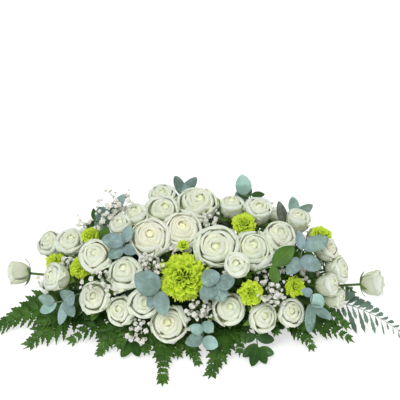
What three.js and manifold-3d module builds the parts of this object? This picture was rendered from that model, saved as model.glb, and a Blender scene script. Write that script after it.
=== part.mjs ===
// Long table arrangement of roses, carnations, eucalyptus and fern on wet foam in a tray.
// Millimetres, +Z up, the front of the arrangement faces -Y. The origin is the middle of
// the tray's underside.

import * as THREE from 'three';
import Module from 'manifold-3d';

const wasm = await Module();
wasm.setup();

// Tray and foam
const TRAY_LONG = 314;
const TRAY_DEEP = 119;
const TRAY_HIGH = 27;
const TRAY_FLARE = 6;
const TRAY_WALL = 2;
const TRAY_FLOOR = 2.5;
const TRAY_CHAMFER = 14;
const FOAM_LONG = 300;
const FOAM_DEEP = 105;
const FOAM_HIGH = 80;
const SEAT_GAP = 0.3;

// Stems
const STEM_RADIUS = 2.2;
const BRANCH_RADIUS = 1.7;
const SPRIG_RADIUS = 1.2;
const STALK_RADIUS = 0.7;
const FORK_BACK = 0.36;
const HOLE_GAP = 0.35;
const CLEAR = 1.0;

// Where a stem ends in the foam, worked out from where its bloom stands
const ROOT_ALONG = 0.5;
const ROOT_ACROSS = 0.25;
const ROOT_LOW = 46;
const ROOT_RISE = 0.12;
const ROOT_REACH_X = 136;
const ROOT_REACH_Y = 36;

// Blades
const BLADE = 1.0;
const LEAF_STEP = 3;
const COLUMNS = 10;
const HEAD_FILL = 1.08;
const FULL_ROSE = 50;
const SMALL_LEAF = 22;
const FROND_BARE = 0.12;
const FULL_CARNATION = 50;

// How much longer than a full bloom a closed bud is, in head radii
const BUD_LENGTH = 1.5;

// Leaves turn their faces to the front and a little up
const FRONT = [0, -0.87, 0.5];
const BACK = [0, 0.87, 0.5];

// Rose heads by stem. at is the middle of the head, wide its width, yaw its turn to the right
// seen from the front, pitch its lift above level, open 0 for a bud and 1 for full bloom.
const ROSE_STEMS = {
  rose_stem_01: [{ at: [-316, -5, 81], wide: 40, yaw: -85, pitch: 5, open: 0.4 }],
  rose_stem_02: [
    { at: [-262, 24, 123], wide: 41, yaw: -50, pitch: 50, open: 0.7 },
    { at: [-222, -12, 147], wide: 43, yaw: -20, pitch: 60, open: 0.8 },
  ],
  rose_stem_03: [{ at: [-241, -68, 109], wide: 43, yaw: -60, pitch: 30, open: 0.5 }],
  rose_stem_04: [{ at: [-174, -77, 155], wide: 48, yaw: -20, pitch: 40, open: 0.9 }],
  rose_stem_05: [{ at: [-122, -102, 136], wide: 49, yaw: -20, pitch: 52, open: 0.8 }],
  rose_stem_06: [{ at: [-175, -106, 92], wide: 46, yaw: -27, pitch: 38, open: 0.8 }],
  rose_stem_07: [
    { at: [-130, -119, 74], wide: 44, yaw: -32, pitch: 30, open: 0.7 },
    { at: [-92, -132, 97], wide: 44, yaw: -5, pitch: 30, open: 0.7 },
  ],
  rose_stem_08: [{ at: [-51, -138, 61], wide: 52, yaw: -8, pitch: 26, open: 0.9 }],
  rose_stem_09: [
    { at: [-131, -38, 189], wide: 36, yaw: -30, pitch: 60, open: 0.4 },
    { at: [-107, -8, 194], wide: 39, yaw: -25, pitch: 60, open: 0.5 },
  ],
  rose_stem_10: [{ at: [-83, -63, 180], wide: 58, yaw: -12, pitch: 47, open: 1 }],
  rose_stem_11: [
    { at: [-65, 11, 194], wide: 49, yaw: -10, pitch: 60, open: 0.8 },
    { at: [-66, 62, 196], wide: 44, yaw: -20, pitch: 75, open: 0.6 },
  ],
  rose_stem_12: [{ at: [-5, 37, 197], wide: 60, yaw: 3, pitch: 70, open: 1 }],
  rose_stem_13: [{ at: [-27, -49, 187], wide: 54, yaw: 10, pitch: 50, open: 0.9 }],
  rose_stem_14: [{ at: [28, -82, 177], wide: 62, yaw: 0, pitch: 54, open: 1 }],
  rose_stem_15: [{ at: [89, -70, 162], wide: 58, yaw: 8, pitch: 48, open: 1 }],
  rose_stem_16: [{ at: [59, -121, 161], wide: 39, yaw: -5, pitch: 40, open: 0.6 }],
  rose_stem_17: [
    { at: [98, 5, 194], wide: 44, yaw: 20, pitch: 75, open: 0.4 },
    { at: [55, 15, 199], wide: 40, yaw: 0, pitch: 80, open: 0.5 },
  ],
  rose_stem_18: [
    { at: [134, -45, 174], wide: 48, yaw: 30, pitch: 55, open: 0.8 },
    { at: [165, 2, 176], wide: 39, yaw: 40, pitch: 70, open: 0.3 },
  ],
  rose_stem_19: [
    { at: [213, -46, 149], wide: 36, yaw: 60, pitch: 45, open: 0.5 },
    { at: [233, -50, 114], wide: 42, yaw: 70, pitch: 25, open: 0.6 },
    { at: [211, -90, 107], wide: 36, yaw: 60, pitch: 20, open: 0.4 },
    { at: [225, -79, 75], wide: 33, yaw: 60, pitch: 5, open: 0.3 },
  ],
  rose_stem_20: [{ at: [301, -8, 62], wide: 41, yaw: 85, pitch: 8, open: 0.4 }],
  rose_stem_21: [{ at: [47, -131, 84], wide: 47, yaw: 14, pitch: 27, open: 0.9 }],
  rose_stem_22: [
    { at: [104, -130, 67], wide: 43, yaw: 30, pitch: 25, open: 0.8 },
    { at: [150, -118, 70], wide: 42, yaw: 36, pitch: 30, open: 0.7 },
  ],
  rose_stem_23: [
    { at: [-200, 80, 114], wide: 48, yaw: -145, pitch: 35, open: 0.8 },
    { at: [-112, 106, 130], wide: 54, yaw: -165, pitch: 40, open: 1 },
  ],
  rose_stem_24: [
    { at: [-32, 122, 124], wide: 54, yaw: 180, pitch: 35, open: 1 },
    { at: [58, 114, 132], wide: 52, yaw: 172, pitch: 40, open: 0.9 },
  ],
  rose_stem_25: [
    { at: [138, 104, 133], wide: 52, yaw: 160, pitch: 30, open: 0.9 },
    { at: [214, 74, 104], wide: 46, yaw: 140, pitch: 30, open: 0.7 },
  ],
};

// Carnation heads by stem, measured the same way
const CARNATION_STEMS = {
  carnation_stem_01: [
    { at: [-27, -117, 137], wide: 74, yaw: 0, pitch: 35 },
    { at: [-27, -89, 181], wide: 20, yaw: 0, pitch: 70 },
  ],
  carnation_stem_02: [{ at: [74, -30, 190], wide: 38, yaw: 5, pitch: 65 }],
  carnation_stem_03: [{ at: [83, -129, 114], wide: 40, yaw: 10, pitch: 30 }],
  carnation_stem_04: [{ at: [157, -104, 112], wide: 32, yaw: 30, pitch: 30 }],
  carnation_stem_05: [{ at: [206, -10, 155], wide: 38, yaw: 40, pitch: 60 }],
  carnation_stem_06: [
    { at: [-247, -28, 115], wide: 33, yaw: -50, pitch: 50 },
    { at: [-200, -58, 122], wide: 35, yaw: -30, pitch: 40 },
    { at: [-185, -26, 166], wide: 30, yaw: -30, pitch: 65 },
  ],
  carnation_stem_07: [
    { at: [18, 86, 171], wide: 42, yaw: 175, pitch: 60 },
    { at: [96, 78, 164], wide: 40, yaw: 165, pitch: 60 },
  ],
};

// Plain green leaves that grow from a rose stem: a bent leaf stalk and its blades
const ROSE_LEAVES = {
  rose_stem_16: {
    stalk: [[50, -80, 115], [88, -103, 138], [118, -113, 157]],
    blades: [
      { from: [118, -113, 157], tip: [153, -96, 183], wide: 28 },
      { from: [118, -113, 157], tip: [124, -130, 130], wide: 18 },
    ],
  },
  rose_stem_04: {
    stalk: [[-132, -42, 115], [-156, -44, 148], [-165, -48, 168]],
    blades: [{ from: [-165, -48, 168], tip: [-152, -46, 192], wide: 18 }],
  },
};

// Eucalyptus sprigs. stem lists the places a sprig passes after it leaves the foam, leaves
// hang at those places by number.
const EUCALYPTUS = {
  eucalyptus_01: {
    stem: [[-150, -5, 160], [-156, -5, 178], [-152, 3, 188]],
    leaves: [
      { on: 1, tip: [-171, -6, 210], wide: 26 },
      { on: 1, tip: [-200, -10, 164], wide: 19 },
      { on: 2, tip: [-128, 8, 227], wide: 18 },
    ],
  },
  eucalyptus_02: {
    stem: [[-126, -66, 160], [-125, -76, 174], [-123, -82, 185]],
    leaves: [
      { on: 1, tip: [-150, -90, 158], wide: 21 },
      { on: 1, tip: [-103, -92, 168], wide: 18 },
      { on: 2, tip: [-161, -79, 187], wide: 25 },
      { on: 2, tip: [-112, -66, 206], wide: 18 },
    ],
  },
  eucalyptus_03: {
    stem: [[-72, -112, 116], [-66, -140, 124]],
    leaves: [
      { on: 1, tip: [-92, -136, 156], wide: 40 },
      { on: 1, tip: [-50, -160, 98], wide: 26 },
      { on: 1, tip: [-84, -160, 106], wide: 20 },
    ],
  },
  eucalyptus_04: {
    stem: [[28, -110, 123], [24, -142, 137]],
    leaves: [
      { on: 1, tip: [8, -140, 165], wide: 30 },
      { on: 1, tip: [56, -140, 146], wide: 26 },
      { on: 1, tip: [38, -152, 112], wide: 27 },
      { on: 1, tip: [-4, -158, 124], wide: 26 },
    ],
  },
  eucalyptus_05: {
    stem: [[2, -110, 60], [5, -150, 52], [4, -160, 44]],
    leaves: [
      { on: 1, tip: [-17, -166, 75], wide: 19 },
      { on: 1, tip: [21, -160, 77], wide: 21 },
      { on: 2, tip: [29, -170, 38], wide: 23 },
      { on: 2, tip: [-24, -172, 46], wide: 22 },
    ],
  },
  eucalyptus_06: {
    stem: [[77, 34, 180], [77, 35, 192], [77, 36, 213]],
    leaves: [
      { on: 1, tip: [60, 38, 214], wide: 24 },
      { on: 1, tip: [106, 38, 206], wide: 19 },
      { on: 2, tip: [71, 38, 250], wide: 27 },
    ],
  },
  eucalyptus_07: {
    stem: [[148, 24, 160], [166, 30, 176]],
    leaves: [
      { on: 0, tip: [134, 20, 208], wide: 17 },
      { on: 1, tip: [158, 30, 212], wide: 19 },
      { on: 1, tip: [194, 30, 196], wide: 18 },
    ],
  },
  eucalyptus_08: {
    stem: [[165, -74, 142], [164, -94, 160], [168, -90, 178]],
    leaves: [
      { on: 1, tip: [198, -108, 148], wide: 26 },
      { on: 1, tip: [140, -124, 147], wide: 23 },
      { on: 2, tip: [212, -68, 182], wide: 26 },
      { on: 2, tip: [160, -84, 206], wide: 16 },
    ],
  },
  eucalyptus_09: {
    stem: [[182, -98, 92], [184, -122, 108], [180, -132, 92]],
    leaves: [
      { on: 1, tip: [200, -134, 90], wide: 22 },
      { on: 1, tip: [164, -134, 124], wide: 15 },
      { on: 2, tip: [216, -140, 72], wide: 16 },
      { on: 2, tip: [180, -140, 44], wide: 18 },
    ],
  },
  eucalyptus_10: {
    stem: [[-205, -80, 84], [-226, -108, 86], [-242, -108, 84]],
    leaves: [
      { on: 1, tip: [-206, -122, 112], wide: 30 },
      { on: 1, tip: [-208, -124, 66], wide: 18 },
      { on: 1, tip: [-232, -124, 50], wide: 16 },
      { on: 2, tip: [-268, -100, 90], wide: 17 },
      { on: 2, tip: [-266, -104, 62], wide: 18 },
    ],
  },
  eucalyptus_11: {
    stem: [[-36, 82, 176], [-30, 80, 194]],
    leaves: [
      { on: 0, tip: [-62, 96, 200], wide: 19 },
      { on: 1, tip: [-6, 82, 224], wide: 22 },
      { on: 1, tip: [-44, 92, 222], wide: 20 },
    ],
    back: true,
  },
};

// Fern: a stalk out of the foam, over the rim and down, with one or more fronds at its end.
// half is the reach of the longest leaflets, bare the part of a frond without any.
const FERNS = {
  fern_01: {
    root: [-126, -16, 35],
    stalk: [[-182, -22, 34]],
    fronds: [
      { via: [-262, -26, 44], tip: [-344, -64, 8], half: 42, pairs: 7 },
      { via: [-226, -64, 38], tip: [-284, -112, 5], half: 34, pairs: 6, bare: 0.3 },
    ],
  },
  fern_02: {
    root: [-112, -30, 35],
    stalk: [[-132, -76, 34]],
    fronds: [
      { via: [-170, -84, 36], tip: [-214, -104, 8], half: 27, pairs: 6 },
      { via: [-146, -104, 30], tip: [-166, -138, 5], half: 22, pairs: 5, bare: 0.3 },
    ],
  },
  fern_03: {
    root: [-44, -30, 35],
    stalk: [[-52, -76, 34]],
    fronds: [
      { via: [-60, -112, 20], tip: [-60, -216, 4], half: 25, pairs: 7 },
      { via: [-24, -104, 22], tip: [-4, -166, 5], half: 20, pairs: 5, bare: 0.3 },
    ],
  },
  fern_04: {
    root: [40, -30, 35],
    stalk: [[42, -76, 34]],
    fronds: [{ via: [46, -118, 32], tip: [18, -196, 5], half: 29, pairs: 7 }],
  },
  fern_05: {
    root: [124, -30, 35],
    stalk: [[144, -76, 34]],
    fronds: [
      { via: [164, -88, 34], tip: [186, -124, 8], half: 22, pairs: 5 },
      { via: [190, -72, 38], tip: [250, -98, 8], half: 26, pairs: 6, bare: 0.32 },
    ],
  },
  fern_06: {
    root: [-60, 30, 35],
    stalk: [[-80, 76, 34]],
    fronds: [
      { via: [-90, 112, 42], tip: [-100, 190, 6], half: 34, pairs: 5 },
      { via: [-140, 88, 46], tip: [-216, 128, 8], half: 30, pairs: 5, bare: 0.3 },
    ],
  },
  fern_07: {
    root: [70, 30, 35],
    stalk: [[84, 76, 34]],
    fronds: [
      { via: [80, 112, 42], tip: [62, 190, 6], half: 34, pairs: 5 },
      { via: [146, 88, 46], tip: [214, 132, 8], half: 30, pairs: 5, bare: 0.3 },
    ],
  },
};

const DUSTY_FERN = {
  root: [124, -14, 36],
  stalk: [[180, -24, 34]],
  fronds: [{ via: [260, -42, 60], tip: [342, -84, 10], half: 32, pairs: 9, narrow: true }],
};

// Low sprigs of rounded dark leaves
const PITTOSPORUM = {
  pittosporum_01: {
    root: [-76, -32, 35],
    stem: [[-88, -76, 33], [-106, -112, 24], [-116, -126, 12]],
    leaves: [
      { on: 1, tip: [-132, -100, 24], wide: 17 },
      { on: 1, tip: [-86, -122, 16], wide: 16 },
      { on: 1, tip: [-72, -126, 10], wide: 14 },
      { on: 2, tip: [-142, -124, 12], wide: 17 },
      { on: 2, tip: [-130, -156, 8], wide: 17 },
      { on: 2, tip: [-100, -154, 8], wide: 17 },
    ],
  },
  pittosporum_02: {
    root: [84, -32, 35],
    stem: [[88, -76, 33], [94, -124, 26], [96, -144, 14]],
    leaves: [
      { on: 1, tip: [124, -124, 20], wide: 17 },
      { on: 1, tip: [68, -126, 22], wide: 16 },
      { on: 2, tip: [122, -152, 12], wide: 17 },
      { on: 2, tip: [108, -174, 7], wide: 17 },
      { on: 2, tip: [84, -180, 6], wide: 18 },
      { on: 2, tip: [70, -158, 10], wide: 16 },
    ],
  },
};

// Sprays of tiny white blossoms: the place each one fans out from and how far it spreads
const SPRAYS = {
  gypsophila_01: { hub: [-136, 30, 172], toward: [-0.25, -0.2, 1], spread: 40, count: 8 },
  gypsophila_02: { hub: [-150, -100, 118], toward: [-0.3, -0.8, 0.5], spread: 42, count: 8 },
  gypsophila_03: { hub: [-78, -102, 146], toward: [0, -0.7, 0.7], spread: 38, count: 8 },
  gypsophila_04: { hub: [0, -134, 94], toward: [0, -1, 0.1], spread: 34, count: 8 },
  gypsophila_05: { hub: [112, -112, 110], toward: [0, -0.95, 0.2], spread: 36, count: 8 },
};

// Vectors
const v3 = (p) => new THREE.Vector3(p[0], p[1], p[2]);

function aim(yaw, pitch) {
  const a = THREE.MathUtils.degToRad(yaw);
  const b = THREE.MathUtils.degToRad(pitch);
  return new THREE.Vector3(Math.sin(a) * Math.cos(b), -Math.cos(a) * Math.cos(b), Math.sin(b));
}

function square(vector, axis) {
  return vector.clone().addScaledVector(axis, -vector.dot(axis)).normalize();
}

function curve(a, b, c, t) {
  const s = 1 - t;
  return a.clone().multiplyScalar(s * s).addScaledVector(b, 2 * s * t).addScaledVector(c, t * t);
}

// Draws that come out the same on every run
function draws(seed) {
  let state = seed;
  return () => {
    state = (state * 1103515245 + 12345) % 2147483648;
    return state / 2147483648;
  };
}

// Closed bodies
function body(points, faces) {
  const mesh = new wasm.Mesh({
    numProp: 3,
    vertProperties: new Float32Array(points.flatMap((p) => [p.x, p.y, p.z])),
    triVerts: new Uint32Array(faces.flat()),
  });
  return new wasm.Manifold(mesh);
}

// Skin over a row of rings, each as long as the one before or twice as long
function skin(rings, crown) {
  const points = rings.flat();
  const faces = [];
  const first = rings[0].length;
  for (let j = 1; j < first - 1; j++) faces.push([0, j + 1, j]);
  let start = 0;
  for (let i = 0; i + 1 < rings.length; i++) {
    const n = rings[i].length;
    const m = rings[i + 1].length;
    const next = start + n;
    for (let j = 0; j < n; j++) {
      const k = (j + 1) % n;
      if (m === n) {
        faces.push([start + j, start + k, next + k]);
        faces.push([start + j, next + k, next + j]);
      } else {
        faces.push([start + j, start + k, next + 2 * j + 1]);
        faces.push([start + j, next + 2 * j + 1, next + 2 * j]);
        faces.push([start + k, next + ((2 * j + 2) % m), next + 2 * j + 1]);
      }
    }
    start = next;
  }
  const last = rings[rings.length - 1].length;
  if (crown) {
    points.push(crown);
    for (let j = 0; j < last; j++) faces.push([start + j, start + ((j + 1) % last), start + last]);
  } else {
    for (let j = 1; j < last - 1; j++) faces.push([start, start + j, start + j + 1]);
  }
  return body(points, faces);
}

// Blade with the same split on both faces
function sheet(points, normals, faces, thick) {
  const n = points.length;
  const top = points.map((p, i) => p.clone().addScaledVector(normals[i], thick / 2));
  const under = points.map((p, i) => p.clone().addScaledVector(normals[i], -thick / 2));
  const edges = new Set();
  for (const [a, b, c] of faces) {
    edges.add(a + '>' + b);
    edges.add(b + '>' + c);
    edges.add(c + '>' + a);
  }
  const out = [];
  for (const [a, b, c] of faces) {
    out.push([a, b, c]);
    out.push([n + a, n + c, n + b]);
    for (const [p, q] of [[a, b], [b, c], [c, a]]) {
      if (edges.has(q + '>' + p)) continue;
      out.push([n + p, n + q, q]);
      out.push([n + p, q, p]);
    }
  }
  return body([...top, ...under], out);
}

// Frames along a path that turn no more than the path does
function frames(path) {
  const list = [];
  let side = null;
  path.forEach((p, i) => {
    const a = path[Math.max(i - 1, 0)];
    const b = path[Math.min(i + 1, path.length - 1)];
    const along = b.clone().sub(a).normalize();
    const hint = side || (Math.abs(along.z) < 0.9 ? v3([0, 0, 1]) : v3([1, 0, 0]));
    side = square(hint, along);
    list.push({ p, along, side, up: along.clone().cross(side) });
  });
  return list;
}

function ring(frame, radius, sides, turn = 0) {
  const list = [];
  for (let j = 0; j < sides; j++) {
    const a = turn + (2 * Math.PI * j) / sides;
    const p = frame.p.clone();
    p.addScaledVector(frame.side, radius * Math.cos(a));
    p.addScaledVector(frame.up, radius * Math.sin(a));
    list.push(p);
  }
  return list;
}

function tube(path, radius, sides) {
  return skin(frames(path).map((frame) => ring(frame, radius, sides)));
}

// Places already taken, so that what comes later is bent clear of them
const taken = [];

function take(samples, owner) {
  for (const s of samples) taken.push({ p: s.p, r: s.r, owner });
}

function crowding(samples, owner) {
  let worst = null;
  for (const s of samples) {
    for (const o of taken) {
      if (o.owner === owner) continue;
      const away = s.p.clone().sub(o.p);
      const depth = s.r + o.r + CLEAR - away.length();
      if (depth > 0 && (!worst || depth > worst.depth)) worst = { depth, away: away.normalize() };
    }
  }
  return worst;
}

function bendClear(samplesAt, owner, gain) {
  const offset = v3([0, 0, 0]);
  for (let step = 0; step < 80; step++) {
    const worst = crowding(samplesAt(offset), owner);
    if (!worst) break;
    offset.addScaledVector(worst.away, (worst.depth + 0.2) * gain);
  }
  return offset;
}

function alongPath(path, radius, from = 0) {
  const samples = [];
  for (let i = 0; i + 1 < path.length; i++) {
    const span = path[i].distanceTo(path[i + 1]);
    const steps = Math.max(1, Math.ceil(span / 5));
    for (let k = 0; k < steps; k++) {
      const t = k / steps;
      if (i + t >= from) samples.push({ p: path[i].clone().lerp(path[i + 1], t), r: radius });
    }
  }
  samples.push({ p: path[path.length - 1].clone(), r: radius });
  return samples;
}

// Head shapes as rows of radius and height, in head radii. laps is the number of petals in
// a row, lap how far each lies over the next, rise how far its middle stands up.
function roseRows(open, wide) {
  const tall = 1 + BUD_LENGTH * (1 - open) ** 1.5;
  const cup = 0.88 + 0.12 * open;
  const rows = [
    { r: 0.36, h: 0.04 },
    { r: 0.93 * cup, h: 0.62 * tall, laps: 4, lap: 0.06, rise: 0 },
    { r: 0.97 * cup, h: tall, laps: 4, lap: 0.12, rise: 0.1 },
    { r: 0.74 * cup, h: tall - 0.16 },
  ];
  if (wide > FULL_ROSE) {
    rows.push({ r: 0.66 * cup, h: tall + 0.14, laps: 3, lap: 0.16, rise: 0.08 });
    rows.push({ r: 0.47 * cup, h: tall - 0.02 });
  }
  rows.push({ r: 0.36 * cup, h: tall + 0.08 + 0.18 * open, laps: 1, lap: 0.36, rise: 0 });
  return { rows, crown: tall - 0.04 + 0.12 * open, middle: (0.5 + 0.22 * open) * tall };
}

function carnationRows(wide) {
  const rows = [
    { r: 0.2, h: -0.55 },
    { r: 0.34, h: -0.02 },
    { r: 0.94, h: 0.46, teeth: 0.1 },
    { r: 0.68, h: 0.5 },
  ];
  if (wide > FULL_CARNATION) {
    rows.push({ r: 0.62, h: 0.86, teeth: 0.1 });
    rows.push({ r: 0.4, h: 0.72 });
  }
  rows.push({ r: 0.27, h: 1.0, teeth: 0.1 });
  return { rows, crown: 0.84, middle: 0.5 };
}

function headRing(base, row, size, turn) {
  const list = [];
  for (let j = 0; j < COLUMNS; j++) {
    let radius = row.r;
    let height = row.h;
    if (row.laps) {
      const part = ((j * row.laps) / COLUMNS + row.laps * 0.13) % 1;
      radius *= 1 + row.lap * (0.5 - part);
      height += row.rise * Math.sin(Math.PI * part);
    }
    if (row.teeth) {
      const tooth = j % 2 ? 1 : -1;
      radius *= 1 + row.teeth * tooth;
      height += row.teeth * 0.8 * tooth;
    }
    const a = turn + (2 * Math.PI * j) / COLUMNS;
    const p = base.p.clone().addScaledVector(base.along, height * size);
    p.addScaledVector(base.side, radius * size * Math.cos(a));
    p.addScaledVector(base.up, radius * size * Math.sin(a));
    list.push(p);
  }
  return list;
}

// One flower from the foot of its stem to its crown
function flower(path, stemRadius, head) {
  const along = frames(path);
  const rings = along.slice(0, -1).map((frame) => ring(frame, stemRadius, COLUMNS / 2));
  const base = along[along.length - 1];
  base.along = head.aim;
  base.side = square(base.side, head.aim);
  base.up = head.aim.clone().cross(base.side);
  for (const row of head.shape.rows) rings.push(headRing(base, row, head.size, 0));
  const crown = base.p.clone().addScaledVector(head.aim, head.shape.crown * head.size);
  return skin(rings, crown);
}

function plan(row, shapeOf) {
  const shape = shapeOf(row);
  const size = (row.wide / 2) * HEAD_FILL;
  const direction = aim(row.yaw, row.pitch);
  const at = v3(row.at);
  const base = at.clone().addScaledVector(direction, -shape.middle * size);
  const foot = base.clone().addScaledVector(direction, (shape.rows[0].h - 0.12) * size);
  return { at, size, shape, aim: direction, base, foot };
}

function rootOf(p) {
  const limit = THREE.MathUtils.clamp;
  const x = limit(p.x * ROOT_ALONG, -ROOT_REACH_X, ROOT_REACH_X);
  const y = limit(p.y * ROOT_ACROSS, -ROOT_REACH_Y, ROOT_REACH_Y);
  return v3([x, y, ROOT_LOW + ROOT_RISE * (p.z - 40)]);
}

// Stem of one head: from its foot in the foam or on a fork, up to the head
function stemPath(from, head, offset) {
  const lead = from.distanceTo(head.foot) * 0.4;
  const middle = head.foot.clone().addScaledVector(head.aim, -lead).add(offset);
  const path = [0, 0.5].map((t) => curve(from, middle, head.foot, t));
  path.push(head.foot.clone());
  return path;
}

const holes = [];

const forkOf = (path) => path[0].clone().lerp(path[1], 0.9);

function flowerStem(name, rowsOf, shapeOf, leaves) {
  const heads = rowsOf.map((row) => plan(row, shapeOf));
  const parts = [];
  const middle = v3([0, 0, 0]);
  for (const head of heads) middle.addScaledVector(head.foot, 1 / heads.length);
  const root = rootOf(middle);
  let from = root;
  let radius = STEM_RADIUS;
  if (heads.length > 1) {
    const fork = middle.clone().lerp(root, FORK_BACK);
    const bend = (o) => [0, 0.5, 1].map((t) => curve(root, root.clone().lerp(fork, 0.5).add(o), fork, t));
    const offset = bendClear((o) => alongPath(bend(o), STEM_RADIUS), name, 1.6);
    const path = bend(offset);
    parts.push(tube(path, STEM_RADIUS, COLUMNS / 2));
    take(alongPath(path, STEM_RADIUS), name);
    holes.push({ path, radius: STEM_RADIUS, sides: COLUMNS / 2 });
    from = fork;
    radius = BRANCH_RADIUS;
  }
  for (const head of heads) {
    const samples = (o) => alongPath(stemPath(from, head, o), radius);
    const offset = bendClear(samples, name, 1.6);
    const path = stemPath(from, head, offset);
    take(alongPath(path, radius), name);
    head.path = path;
    if (heads.length === 1) holes.push({ path, radius, sides: COLUMNS / 2 });
    const whole = [...path, head.base];
    parts.push(flower(whole, radius, head));
  }
  if (leaves) {
    const stalk = leaves.stalk.map(v3);
    parts.push(tube([forkOf(heads[0].path), ...stalk], SPRIG_RADIUS, 4));
    take(alongPath(stalk, SPRIG_RADIUS), name);
    for (const blade of leaves.blades) {
      const leaf = leafPlan(v3(blade.from), v3(blade.tip), blade.wide, FRONT);
      parts.push(leafBody(leaf, POINTED));
      take(leafSamples(leaf), name);
    }
  }
  return wasm.Manifold.union(parts);
}

// Leaves
const ROUND = [[0.2, 0.72], [0.52, 1], [0.84, 0.66]];
const POINTED = [[0.22, 0.78], [0.5, 1], [0.78, 0.6]];
const SHORT = [[0.28, 0.86], [0.74, 0.9]];

function leafPlan(from, tip, wide, face) {
  const along = tip.clone().sub(from);
  const long = along.length();
  along.normalize();
  const normal = square(v3(face), along);
  const side = along.clone().cross(normal).negate();
  return { from, along, long, normal, side, half: wide / 2 };
}

function leafPoint(leaf, t, s, lift) {
  const p = leaf.from.clone().addScaledVector(leaf.along, leaf.long * t);
  p.addScaledVector(leaf.side, leaf.half * s);
  return p.addScaledVector(leaf.normal, lift * leaf.half);
}

function leafSamples(leaf) {
  const list = [];
  for (const t of [0.3, 0.6, 0.9]) {
    for (const s of [-0.7, 0, 0.7]) {
      if (t < 0.9 || s === 0) list.push({ p: leafPoint(leaf, t, s, 0.1), r: leaf.half * 0.3 });
    }
  }
  return list;
}

function leafBody(leaf, outline) {
  const small = leaf.half * 2 < SMALL_LEAF;
  const edge = small ? SHORT : outline;
  const points = [leafPoint(leaf, 0, 0, 0)];
  for (const [t, s] of edge) points.push(leafPoint(leaf, t, -s, 0.22));
  points.push(leafPoint(leaf, 1, 0, 0));
  for (const [t, s] of [...edge].reverse()) points.push(leafPoint(leaf, t, s, 0.22));
  const few = [[0, 1, 2], [0, 2, 3], [0, 3, 4], [0, 4, 5]];
  const many = [[0, 1, 2], [0, 2, 4], [2, 3, 4], [0, 4, 6], [0, 6, 7], [4, 5, 6]];
  const faces = small ? few : many;
  return sheet(points, points.map(() => leaf.normal), faces, BLADE);
}

function sprig(name, row, outline) {
  const places = row.stem.map(v3);
  const root = row.root ? v3(row.root) : rootOf(places[0]);
  const face = row.back ? BACK : FRONT;
  const stem = (o) => {
    const path = [root, curve(root, root.clone().lerp(places[0], 0.5).add(o), places[0], 0.5)];
    return [...path, ...places.map((p) => p.clone())];
  };
  const offset = bendClear((o) => alongPath(stem(o), SPRIG_RADIUS), name, 1.3);
  const path = stem(offset);
  const parts = [tube(path, SPRIG_RADIUS, 4)];
  take(alongPath(path, SPRIG_RADIUS), name);
  holes.push({ path, radius: SPRIG_RADIUS, sides: 4 });
  const along = places.map((p, i) => p.clone().sub(i ? places[i - 1] : path[1]).normalize());
  const used = {};
  for (const leaf of row.leaves) {
    used[leaf.on] = (used[leaf.on] || 0) + 1;
    const from = places[leaf.on].clone().addScaledVector(along[leaf.on], LEAF_STEP * (0.4 - used[leaf.on]));
    const tip = v3(leaf.tip);
    const at = (o) => leafPlan(from, tip.clone().add(o), leaf.wide, face);
    const shift = bendClear((o) => leafSamples(at(o)), name, 1.2);
    parts.push(leafBody(at(shift), outline));
    take(leafSamples(at(shift)), name);
  }
  return wasm.Manifold.union(parts);
}

// Fern fronds: leaflets in pairs along an arched rachis
function frondBody(from, row, thick) {
  const via = v3(row.via);
  const tip = v3(row.tip);
  const points = [];
  const normals = [];
  const faces = [];
  const n = row.pairs;
  const put = (p, normal) => {
    points.push(p);
    normals.push(normal);
    return points.length - 1;
  };
  const station = (t) => {
    const p = curve(from, via, tip, t);
    const along = curve(from, via, tip, t + 0.01).sub(p).normalize();
    const normal = square(v3([0, -0.45, 0.9]), along);
    return { p, along, normal, side: along.clone().cross(normal).negate() };
  };
  const bare = row.bare || FROND_BARE;
  let before = null;
  for (let i = -1; i <= n; i++) {
    const here = station(i < 0 ? -0.01 : bare + (1 - bare) * (i / n));
    const web = i < 0 || i === n ? 1.1 : 2.2;
    const left = put(here.p.clone().addScaledVector(here.side, -web), here.normal);
    const right = put(here.p.clone().addScaledVector(here.side, web), here.normal);
    if (before && i === 0) {
      faces.push([before.left, left, right]);
      faces.push([before.left, right, before.right]);
    } else if (before) {
      const mid = station(bare + (1 - bare) * ((i - 0.5) / n));
      const part = (i - 0.5) / n;
      const reach = row.half * Math.min(1, 0.7 + 1.5 * part) * (1.08 * (1 - part) + 0.14);
      const spot = (s, lean) => {
        const p = mid.p.clone().addScaledVector(mid.side, s * reach);
        p.addScaledVector(mid.along, lean * reach).addScaledVector(mid.normal, -reach * 0.12);
        return put(p, mid.normal);
      };
      faces.push([before.left, left, right]);
      faces.push([before.left, right, before.right]);
      if (row.narrow) {
        faces.push([before.left, spot(-1, 0.4), left]);
        faces.push([before.right, right, spot(1, 0.4)]);
      } else {
        const outer = [spot(-1, 0.5), spot(-0.72, 0.56), spot(0.72, 0.56), spot(1, 0.5)];
        faces.push([before.left, outer[0], outer[1]], [before.left, outer[1], left]);
        faces.push([before.right, right, outer[2]], [before.right, outer[2], outer[3]]);
      }
    }
    before = { left, right };
  }
  for (const p of points) p.z = Math.max(p.z, 1.6 + thick / 2);
  return sheet(points, normals, faces, thick);
}

function frondSamples(from, row) {
  const list = [];
  for (let t = 0.15; t <= 1; t += 0.1) {
    const p = curve(from, v3(row.via), v3(row.tip), t);
    list.push({ p, r: Math.min(6, row.half * 0.3) });
  }
  return list;
}

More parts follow.
